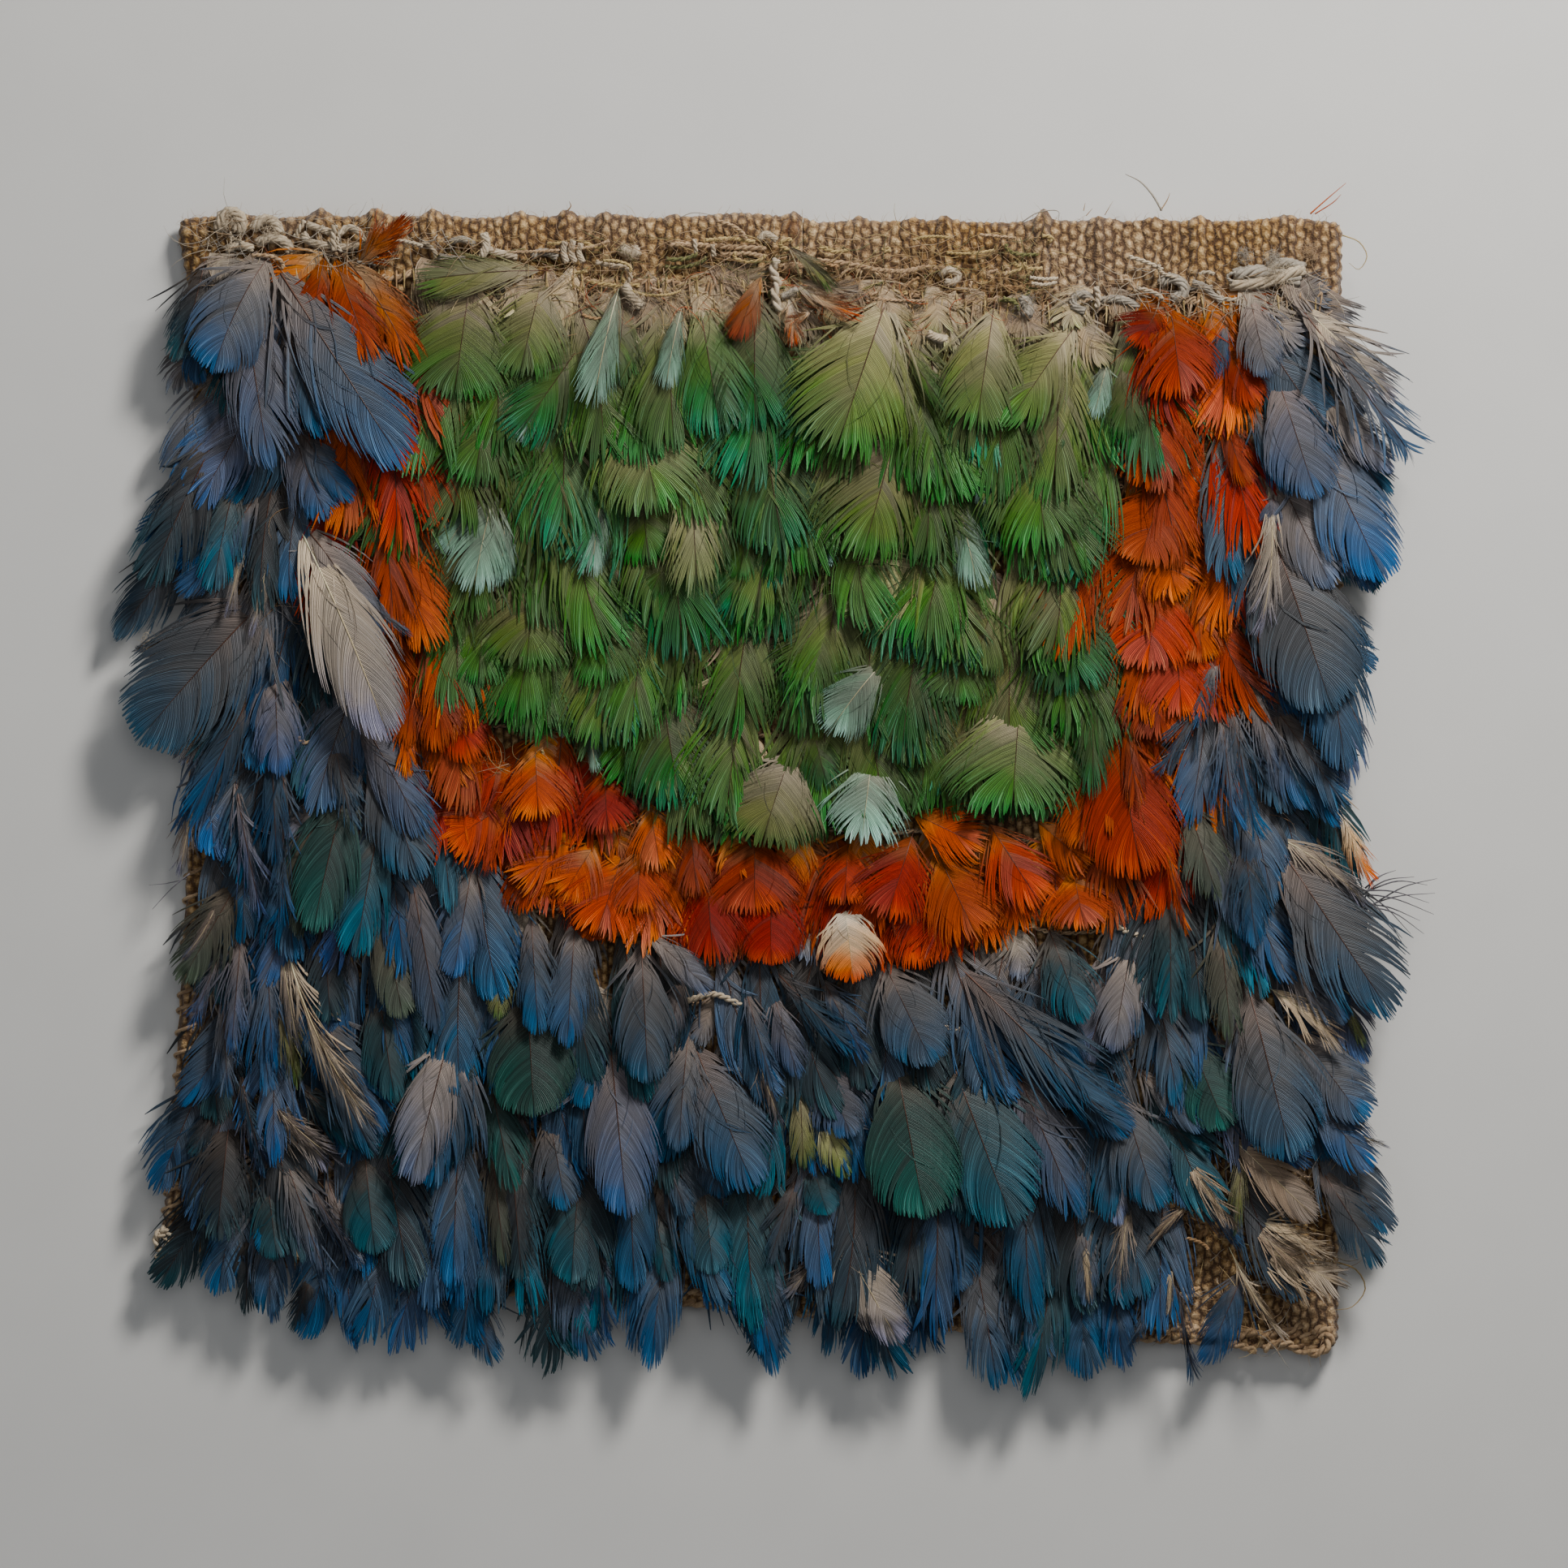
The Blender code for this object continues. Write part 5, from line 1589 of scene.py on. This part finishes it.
def add_yarn(piece, points, radius, finish, draw, plies=2, sides=5, steps_a_turn=STEPS_A_TURN):
    """A plied yarn on a smooth line through a few points; one of many plies is soft and slack."""
    twist = radius * (TWIST if plies == 2 else SLACK_TWIST)
    steps = max(8, 4 * round(route_length(points) / twist * steps_a_turn / 4))
    line = curve_through(points, steps + 1)
    across, up = across_line(line)
    turn = np.linspace(0, math.tau * steps / steps_a_turn, steps + 1)[:, None]
    thick, out = TIGHT_PLY if plies == 2 else SLACK_PLY
    for ply in np.arange(plies) * math.tau / plies:
        offset = across * np.cos(turn + ply) + up * np.sin(turn + ply)
        swell = 1 + draw.normal(0, 0.03 * plies, 5)
        add_strand(piece, tube(sides, steps), line + out * radius * offset,
                   thick * radius * np.clip(swell, 0.6, 1.4), finish, draw)


def add_thread(piece, points, radii, finish, draw):
    """A thin round strand on a smooth line through a few points."""
    add_strand(piece, THREAD, curve_through(points, 13), radii, finish, draw)


def add_wisp(piece, start, heading, length, curl, radius, finish, draw, rise=0.15):
    """A thin fibre that wanders off from a place and tapers."""
    turns = heading + curl * np.linspace(0, 1, WISP_STEPS)
    turns = turns + draw.normal(0, 0.25, WISP_STEPS).cumsum() * 0.5
    slopes = rise * np.sin(np.linspace(0.2, 2.6, WISP_STEPS)) + draw.normal(0, 0.1, WISP_STEPS)
    move = np.stack([np.sin(turns), -np.cos(turns), slopes], 1) * (length / WISP_STEPS)
    path = np.vstack([start, start + np.cumsum(move, 0)])
    path[:, 2] = np.maximum(path[:, 2], CLEAR_OF_FLOOR)
    add_strand(piece, FIBRE, path, np.array([radius, 0.8 * radius, 0.3 * radius]), finish, draw)


# %% [markdown]
# Each row has its cord. No feathers cover the first one, so it also has the thread that
# ties the feathers on, and the quills show where they are folded over it and bound.

# %% Strings
CORD_RADIUS = 0.46 * MM
CORD_HEIGHT = 0.62 * MM
WRAP_PITCH = 3.4 * MM
WRAP_RADIUS = 0.17 * MM
WRAP_STEPS = 8
FOLD_PITCH = 1.25
FOLD_KINDS = ("straw", "tan", "cotton", "straw")
FOLD_RADII = np.array([0.1, 0.16, 0.13]) * MM


def string_line(row, count, draw):
    """The cord's route on its row."""
    xs = np.linspace(ROW_START, STRINGS[row][-1][1], count)
    ys = row_y(row, xs) + draw.normal(0, 0.45, count)
    points = np.stack([xs * MM, ys * MM, np.zeros(count)], 1)
    points[:, 2] = cloth_top(points[:, 0], points[:, 1]) + CORD_HEIGHT
    return points


def add_wrap(piece, points, row, finish, draw):
    """A thread wound loosely round a line."""
    steps = WRAP_STEPS * max(1, round(route_length(points) / WRAP_PITCH))
    line = curve_through(points, steps + 1)
    across, up = across_line(line)
    turn = np.linspace(0, math.tau * steps / WRAP_STEPS, steps + 1)[:, None]
    turn = turn + 1.5 * np.sin(0.11 * turn + row) + 0.8 * np.sin(0.31 * turn)
    line = line + (CORD_RADIUS + WRAP_RADIUS) * (across * np.cos(turn) + up * np.sin(turn))
    add_strand(piece, tube(4, steps), line, np.full(2, WRAP_RADIUS), finish, draw)


def fold_quills(piece, draw):
    """Quills of the first row, folded over the cord."""
    for x in np.arange(ROW_START + 1, STRINGS[1][-1][1], FOLD_PITCH):
        x += draw.normal(0, 0.6)
        y = row_y(1, x) + draw.normal(0, 0.3)
        ground = float(cloth_top(x * MM, y * MM)) / MM
        lean = draw.normal(0, 0.5)
        long = draw.uniform(1.6, 3.2)
        path = np.array([
            (x + 0.6 * lean, y - long, ground + 1.3), (x + 0.2 * lean, y - 0.9, ground + 1.45),
            (x, y + 0.1, ground + 1.3), (x - 0.1 * lean, y + 0.75, ground + 0.7),
            (x - 0.1 * lean, y + 0.3, ground + 0.25),
        ]) * MM
        add_thread(piece, path, FOLD_RADII, str(draw.choice(FOLD_KINDS)), draw)


def build_cords():
    draw = np.random.default_rng(SEED + 40)
    cords = Gather("string_cords")
    for row in range(1, ROWS + 1):
        points = string_line(row, 26, draw)
        if row > 1:
            add_yarn(cords, points, CORD_RADIUS, "cotton", draw, sides=3, steps_a_turn=3)
            continue
        add_yarn(cords, points, CORD_RADIUS, "cotton", draw, sides=5, steps_a_turn=6)
        add_wrap(cords, points, row, "cotton", draw)
    fold_quills(cords, draw)
    return cords.close("cotton_cloth", keep_map=False)


print("faces of the cords:", len(build_cords().data.polygons))

# %% [markdown]
# Thicker soft yarn, white or grey, lies over the strings near the fold, and bits of it
# show between the feathers. Each route follows what the photograph shows, in its
# pixels. A yarn of two plies is tight and beaded; one of five is soft and slack. A few
# end in fluff, which is a tuft of short curling fibres.

# %% Ties and fluff
TIES = (
    # finish, radius in mm, plies, height over the cloth in mm, x and y of each pixel
    ("white", 0.95, 5, 1.0, 272, 286, 276, 268, 290, 264, 300, 276, 294, 288),
    ("white", 0.8, 5, 0.9, 312, 284, 326, 272, 340, 276, 346, 290),
    ("white", 0.75, 5, 1.0, 318, 302, 336, 294, 352, 300, 360, 312),
    ("white", 0.65, 5, 0.9, 280, 310, 296, 304, 314, 308),
    ("white", 0.16, 2, 1.6, 286, 288, 287, 296, 286, 306),
    ("white", 0.16, 2, 1.6, 298, 288, 298, 296, 300, 306),
    ("white", 0.55, 5, 1.0, 374, 290, 384, 300, 404, 304, 428, 306, 446, 304),
    ("white", 0.5, 5, 0.8, 380, 278, 396, 284, 410, 288),
    ("white", 0.5, 5, 1.1, 418, 292, 430, 282, 444, 288, 450, 300),
    ("white", 0.45, 2, 1.8, 414, 280, 412, 294, 414, 311),
    ("grey", 0.6, 5, 1.0, 542, 318, 556, 322, 574, 322),
    ("grey", 0.5, 5, 0.9, 556, 300, 570, 296, 586, 303),
    ("white", 0.62, 5, 1.5, 597, 290, 600, 304, 594, 319),
    ("white", 0.58, 5, 1.0, 600, 308, 616, 314, 638, 318),
    ("grey", 0.58, 5, 1.0, 656, 317, 670, 312, 688, 318),
    ("white", 0.48, 5, 1.5, 697, 300, 695, 312, 699, 325),
    ("white", 0.48, 5, 1.4, 707, 298, 704, 312, 709, 325),
    ("white", 0.45, 5, 1.4, 716, 302, 714, 314, 719, 325),
    ("straw", 0.3, 2, 1.3, 720, 300, 734, 306, 747, 304),
    ("white", 0.95, 5, 1.3, 766, 308, 776, 314, 787, 310),
    ("white", 0.38, 2, 1.6, 735, 325, 755, 329, 772, 332, 777, 344, 769, 356),
    ("white", 0.75, 5, 2.0, 770, 354, 778, 366, 791, 380),
    ("cotton", 0.42, 2, 1.2, 826, 303, 860, 304, 900, 306, 944, 308),
    ("straw", 0.3, 2, 1.3, 870, 298, 900, 296, 930, 300),
    ("cotton", 0.38, 2, 1.3, 888, 316, 920, 314, 941, 318),
    ("white", 0.35, 2, 1.8, 878, 304, 879, 311, 880, 318),
    ("white", 0.3, 2, 1.8, 856, 297, 857, 305, 858, 313),
    ("white", 0.5, 5, 1.3, 935, 297, 944, 290, 957, 298),
    ("white", 0.62, 2, 2.1, 957, 322, 952, 336, 958, 350, 954, 364, 960, 385),
    ("grey", 0.5, 5, 1.9, 963, 368, 972, 364, 982, 358),
    ("cotton", 0.4, 2, 1.2, 966, 332, 990, 330, 1018, 334),
    ("cotton", 0.38, 2, 1.2, 1000, 322, 1040, 326, 1080, 334, 1112, 336, 1140, 331, 1166, 333),
    ("straw", 0.3, 2, 1.2, 1010, 306, 1030, 312, 1046, 310),
    ("white", 0.55, 5, 1.5, 1158, 341, 1168, 334, 1181, 340, 1174, 350, 1164, 349),
    ("tan", 0.38, 2, 1.2, 1236, 354, 1252, 357, 1270, 352),
    ("white", 0.26, 2, 2.3, 1268, 344, 1286, 346, 1302, 345),
    ("white", 0.26, 2, 2.2, 1270, 351, 1286, 353, 1301, 350),
    ("cotton", 0.3, 2, 1.6, 1278, 358, 1290, 361, 1301, 358),
    ("grey", 0.85, 5, 1.8, 1256, 370, 1266, 378, 1264, 391),
    ("white", 0.65, 5, 1.8, 1143, 413, 1154, 418, 1166, 420),
    ("grey", 0.6, 5, 1.4, 1336, 385, 1322, 379, 1322, 368, 1334, 364, 1346, 371),
    ("grey", 0.58, 5, 1.4, 1352, 373, 1372, 369, 1390, 374, 1402, 381),
    ("white", 0.42, 2, 2.2, 1349, 356, 1352, 368, 1350, 381),
    ("cotton", 0.42, 2, 1.3, 1379, 350, 1384, 342, 1393, 352, 1402, 363),
    ("grey", 0.8, 5, 1.2, 1428, 352, 1440, 344, 1456, 350, 1458, 364, 1443, 371),
    ("grey", 0.48, 5, 1.3, 1468, 350, 1482, 354, 1492, 364, 1505, 373),
    ("grey", 1.0, 5, 1.0, 1519, 341, 1544, 336, 1572, 340, 1601, 347),
    ("white", 0.85, 5, 1.4, 1514, 353, 1540, 352, 1566, 348, 1590, 338, 1606, 334),
    ("grey", 0.75, 5, 0.9, 1560, 330, 1584, 325, 1605, 332),
    ("cotton", 0.4, 2, 2.6, 366, 905, 374, 914, 388, 916),
    ("white", 0.45, 2, 2.4, 848, 1232, 880, 1224, 914, 1238),
    ("white", 0.38, 2, 2.4, 1162, 1262, 1176, 1268, 1194, 1264),
    ("white", 0.42, 2, 2.5, 1376, 1142, 1394, 1150, 1414, 1156),
    ("white", 0.36, 2, 2.4, 1484, 792, 1492, 802, 1488, 812),
    ("white", 0.36, 2, 2.2, 1342, 1488, 1352, 1497, 1360, 1494),
    ("tan", 0.5, 2, 1.5, 1436, 1462, 1456, 1456, 1478, 1466, 1492, 1480),
    ("tan", 0.52, 2, 1.9, 1440, 1484, 1462, 1474, 1484, 1482, 1480, 1498),
    ("tan", 0.46, 2, 1.4, 1446, 1506, 1466, 1498, 1490, 1508, 1474, 1524),
    ("white", 0.5, 2, 0.6, 205, 1512, 194, 1522, 198, 1538, 210, 1536, 212, 1520, 200, 1514),
    ("white", 0.46, 2, 0.9, 196, 1520, 208, 1526, 204, 1544, 193, 1548),
    ("cotton", 0.66, 2, 0.3, 1604, 1662, 1620, 1666, 1634, 1658, 1637, 1645, 1628, 1636, 1616, 1641),
    ("cotton", 0.6, 2, 0.4, 1556, 1661, 1572, 1653, 1588, 1655, 1600, 1664),
    ("cotton", 0.56, 2, 0.4, 1500, 1663, 1516, 1655, 1532, 1658, 1546, 1664),
    ("cotton", 0.6, 2, 0.3, 1524, 1646, 1540, 1640, 1556, 1644, 1570, 1640),
    ("cotton", 0.52, 2, 0.3, 1576, 1634, 1590, 1638, 1602, 1630),
)
TUFTS = (
    # finish, pixel, height in mm, fibres, spread in mm
    ("white", (776, 312), 1.6, 130, 1.8), ("grey", (1264, 379), 2.0, 150, 2.2),
    ("white", (784, 372), 2.2, 100, 2.0), ("white", (974, 362), 2.0, 50, 1.4),
    ("grey", (1533, 316), 1.3, 90, 2.0), ("grey", (1566, 319), 1.3, 90, 2.0),
    ("cotton", (1614, 313), 1.0, 90, 2.2), ("white", (1570, 343), 1.9, 90, 3.4),
    ("white", (284, 275), 1.5, 80, 2.2), ("white", (334, 284), 1.4, 80, 2.6),
    ("white", (944, 292), 1.3, 50, 1.8), ("straw", (226, 1535), 0.6, 60, 1.8),
    ("white", (188, 796), 1.2, 70, 2.4), ("tan", (1466, 1490), 1.8, 80, 3.6),
    ("white", (1636, 1560), 1.6, 60, 2.4),
)

TUFT_SPREAD, TUFT_LONG, TUFT_CURL, TUFT_RADIUS = 0.26, (0.3, 0.8), 2.4, 0.035 * MM


def build_ties():
    draw = np.random.default_rng(SEED + 60)
    ties = Gather("ties_and_fluff")
    for finish, radius, plies, height, *route in TIES:
        pixels = zip(route[::2], route[1::2])
        points = [over_cloth(x, y, height + draw.normal(0, 0.1)) for x, y in pixels]
        add_yarn(ties, points, radius * MM, finish, draw, plies, 5 if plies == 2 else 4)
    for finish, pixel, height, fibres, spread in TUFTS:
        for _ in range(fibres):
            start = over_cloth(*pixel, height) + draw.normal(0, TUFT_SPREAD * spread * MM, 3)
            heading = draw.uniform(0, math.tau)
            long = draw.uniform(*TUFT_LONG) * spread * MM
            curl = draw.normal(0, TUFT_CURL)
            add_wisp(ties, start, heading, long, curl, TUFT_RADIUS, finish, draw, rise=0.3)
    return ties.close("cotton_cloth", keep_map=False)


print("faces of the ties:", len(build_ties().data.polygons))

# %% [markdown]
# Loose fibres come last: frayed ends along the first string, fuzz on the shoulder
# fold, single barbs that stick out from the feathers, and a few long curled ones.

# %% Loose fibres
FRAY = {
    # area in pixels: left, top, right, bottom, number of fibres and of short yarns, kinds
    "yoke": (560, 292, 1300, 372, 560, 44, ("straw", "tan", "cotton", "straw", "cotton", "olive")),
    "under the yoke": (700, 345, 1240, 415, 170, 8, ("tan", "cotton", "straw", "orange")),
    "right shoulder": (1300, 330, 1640, 385, 150, 10, ("grey", "cotton", "white")),
    "left shoulder": (240, 272, 560, 328, 150, 10, ("white", "grey", "cotton")),
    "orange wisps": (446, 312, 476, 334, 50, 0, ("tan", "orange", "tan")),
    "orange strands": (980, 350, 1050, 400, 60, 0, ("orange", "straw")),
    "left middle": (310, 620, 420, 940, 80, 0, ("barb", "grey", "tan")),
    "left bottom": (290, 1270, 470, 1500, 80, 0, ("barb", "tan", "grey")),
    "right middle": (1430, 880, 1560, 1080, 90, 0, ("barb", "grey", "tan")),
    "hem corner": (1430, 1440, 1650, 1650, 120, 6, ("tan", "straw", "cotton", "grey")),
    "arc": (600, 900, 830, 960, 40, 2, ("cotton", "straw")),
}
STRAYS = (
    # finish, radius and height in mm, pixels from root to tip
    ("grey", 0.16, 2.2, ((1430, 262), (1418, 242), (1403, 226), (1385, 217))),
    ("tan", 0.1, 2.2, ((1428, 262), (1436, 250), (1440, 240))),
    ("orange", 0.12, 2.4, ((1612, 266), (1630, 250), (1656, 228))),
    ("orange", 0.1, 2.2, ((1618, 266), (1640, 252), (1650, 242))),
    ("straw", 0.1, 2.0, ((1652, 292), (1672, 300), (1682, 318), (1672, 334), (1660, 326))),
    ("barb", 0.1, 2.0, ((236, 1076), (214, 1094), (190, 1120))),
    ("barb", 0.08, 2.0, ((232, 1082), (208, 1088), (186, 1090))),
    ("tan", 0.1, 3.0, ((1640, 972), (1656, 984), (1672, 998))),
    ("straw", 0.12, 2.0, ((1640, 1552), (1668, 1562), (1680, 1586), (1664, 1608), (1644, 1612))),
    ("grey", 0.1, 2.0, ((1630, 1540), (1660, 1552), (1690, 1540))),
    ("tan", 0.1, 1.6, ((700, 262), (704, 256), (702, 250))),
    ("grey", 0.08, 1.6, ((838, 270), (856, 264), (884, 268))),
    ("grey", 0.09, 1.8, ((1258, 276), (1278, 264), (1302, 262), (1303, 274))),
    ("tan", 0.07, 1.8, ((1334, 262), (1336, 252))),
    ("tan", 0.07, 1.8, ((1337, 268), (1345, 259))),
    ("tan", 0.06, 1.8, ((1360, 267), (1370, 250))),
)
SPIKE_ROOT, SPIKE_ROOT_SPREAD = (1672, 1108), (12, 18)
SPIKES = ((1700, 1078), (1718, 1072), (1740, 1080), (1756, 1090), (1768, 1082), (1766, 1100),
          (1758, 1112), (1764, 1126), (1748, 1134), (1752, 1150), (1736, 1150), (1728, 1166))
STRAY_TAPER = np.array([1.0, 0.8, 0.3])
SPIKE_RADII = np.array([0.13, 0.1, 0.03]) * MM
FRAY_HEIGHT, FRAY_LONG = (0.7, 2.4), (2.5, 8.0)
FRAY_HEADINGS = (-1.35, 0.0, 1.35)
WISP_HEADING, WISP_LONG = 2.42, (3.5, 7.5)
FRAY_RADIUS, FRAY_YARN_RADIUS = (0.03, 0.08), (0.22, 0.36)


def fray(piece, draw):
    """Fibres and short yarns that lie about in some areas; the orange wisps all point one way."""
    for area, (left, top, right, bottom, fibres, yarns, kinds) in FRAY.items():
        for k in range(fibres + yarns):
            x, y = draw.uniform(left, right), draw.uniform(top, bottom)
            start = over_cloth(x, y, draw.uniform(*FRAY_HEIGHT))
            heading = draw.choice(FRAY_HEADINGS) + draw.normal(0, 0.5)
            finish = str(draw.choice(kinds))
            long = draw.uniform(*FRAY_LONG) * MM
            if area == "orange wisps":
                heading = WISP_HEADING + draw.normal(0, 0.1)
                long = draw.uniform(*WISP_LONG) * MM
                add_wisp(piece, start, heading, long, 0.3, 0.1 * MM, finish, draw, rise=0.05)
                continue
            if k < fibres:
                radius = draw.uniform(*FRAY_RADIUS) * MM
                add_wisp(piece, start, heading, long, draw.normal(0, 1.3), radius, finish, draw)
                continue
            turns = heading + np.linspace(0, draw.normal(0, 1.6), 5)
            move = np.stack([np.sin(turns), -0.4 * np.cos(turns), draw.normal(0, 0.12, 5)], 1)
            route = np.vstack([start, start + np.cumsum(move * long / 5, 0)])
            radius = draw.uniform(*FRAY_YARN_RADIUS) * MM
            add_yarn(piece, route, radius, finish, draw, sides=4, steps_a_turn=5)


def fuzz_fold(piece, draw):
    """Short hairs on the fold and on the bare band below it."""
    for x in np.arange(float(EDGE_X[0]), float(EDGE_X[-1]), 0.26 * MM):
        x += draw.normal(0, 0.3 * MM)
        depth = draw.choice((0.2, 0.3, 3.0, 6.0)) * draw.uniform(0.5, 1.5) * MM
        y = float(crest_y(x)) - depth
        start = np.array([x, y, float(cloth_top(x, y)) + 0.1 * MM])
        heading = math.pi + draw.normal(0, 0.9)
        add_wisp(piece, start, heading, draw.uniform(0.7, 2.0) * MM, draw.normal(0, 1.0),
                 0.03 * MM, "cotton", draw, rise=0.5)


def build_fibres():
    draw = np.random.default_rng(SEED + 80)
    fibres = Gather("loose_fibres")
    fray(fibres, draw)
    fuzz_fold(fibres, draw)
    for finish, radius, height, pixels in STRAYS:
        points = [over_cloth(x, y, height) for x, y in pixels]
        add_thread(fibres, points, STRAY_TAPER * radius * MM, finish, draw)
    for pixel in SPIKES:
        away = [draw.uniform(-spread, spread) for spread in SPIKE_ROOT_SPREAD]
        root = over_cloth(SPIKE_ROOT[0] + away[0], SPIKE_ROOT[1] + away[1], 1.8)
        tip = over_cloth(*pixel, draw.uniform(0.6, 2.4))
        bow = (root + tip) / 2 + np.array([0, draw.uniform(0.4, 1.2) * MM, 0.5 * MM])
        add_thread(fibres, [root, bow, tip], SPIKE_RADII, "barb", draw)
    return fibres.close("cotton_cloth", keep_map=False)


print("faces of the fibres:", len(build_fibres().data.polygons))

# %% [markdown]
# The hem is finished with a thick two-ply cord and a thinner one beside it. Both run
# along its whole length and turn up a little at the rounded corners. The sides below
# the armholes are sewn with an overcast yarn from front to back.

# %% Hem and side seams
HEM_CORD_RADIUS = 0.8 * MM
HEM_CORD_INSET = 0.65 * MM
HEM_CORD_Z = 2.3 * MM
CORD_TURN_LIMIT = 0.86
SECOND_CORD = (0.0, 1.45 * MM, 0.55 * MM)
SECOND_CORD_RADIUS = 0.7 * HEM_CORD_RADIUS
SEAM_FROM, ARMHOLE_Y = -62.0, 34.0
STITCH_PITCH = 3.1
STITCH_RADIUS = 0.26 * MM


def corner_rise(xs):
    """How far the hem's cord rises where it turns with the cloth's rounded corner."""
    from_end = np.minimum(xs - xs[0], xs[-1] - xs)
    share = np.clip(1 - from_end / HEM_CORNER, 0, CORD_TURN_LIMIT)
    return HEM_CORNER * (1 - np.sqrt(1 - share**2))


def build_edges():
    draw = np.random.default_rng(SEED + 90)
    edges = Gather("hem_and_seams")
    xs = np.linspace(float(EDGE_X[0]), float(EDGE_X[-1]), 80)
    ys = hem_y(xs) + HEM_CORD_INSET + corner_rise(xs)
    line = np.stack([xs, ys, np.full(len(xs), HEM_CORD_Z)], 1)
    add_yarn(edges, line, HEM_CORD_RADIUS, "cotton", draw, sides=7, steps_a_turn=8)
    line = line + SECOND_CORD
    add_yarn(edges, line, SECOND_CORD_RADIUS, "cotton", draw, sides=6)
    for side, edge in ((-1, left_x), (1, right_x)):
        for y in np.arange(SEAM_FROM, ARMHOLE_Y, STITCH_PITCH):
            y = (y + draw.normal(0, 0.3)) * MM
            x = float(edge(y))
            top = float(cloth_top(x - 1.6 * side * MM, y))
            path = np.array([
                (x - 2.3 * side * MM, y + 1.1 * MM, top - 0.2 * MM),
                (x - 1.0 * side * MM, y + 0.5 * MM, top + 0.35 * MM),
                (x + 0.3 * side * MM, y, 0.6 * top),
                (x + 0.25 * side * MM, y - 0.4 * MM, 0.9 * MM),
                (x - 0.9 * side * MM, y - 0.9 * MM, 0.45 * MM),
            ])
            add_thread(edges, path, np.full(2, STITCH_RADIUS), "cotton", draw)
    return edges.close("cotton_cloth", keep_map=False)


edges = build_edges()
print("faces of the hem and seams:", len(edges.data.polygons))
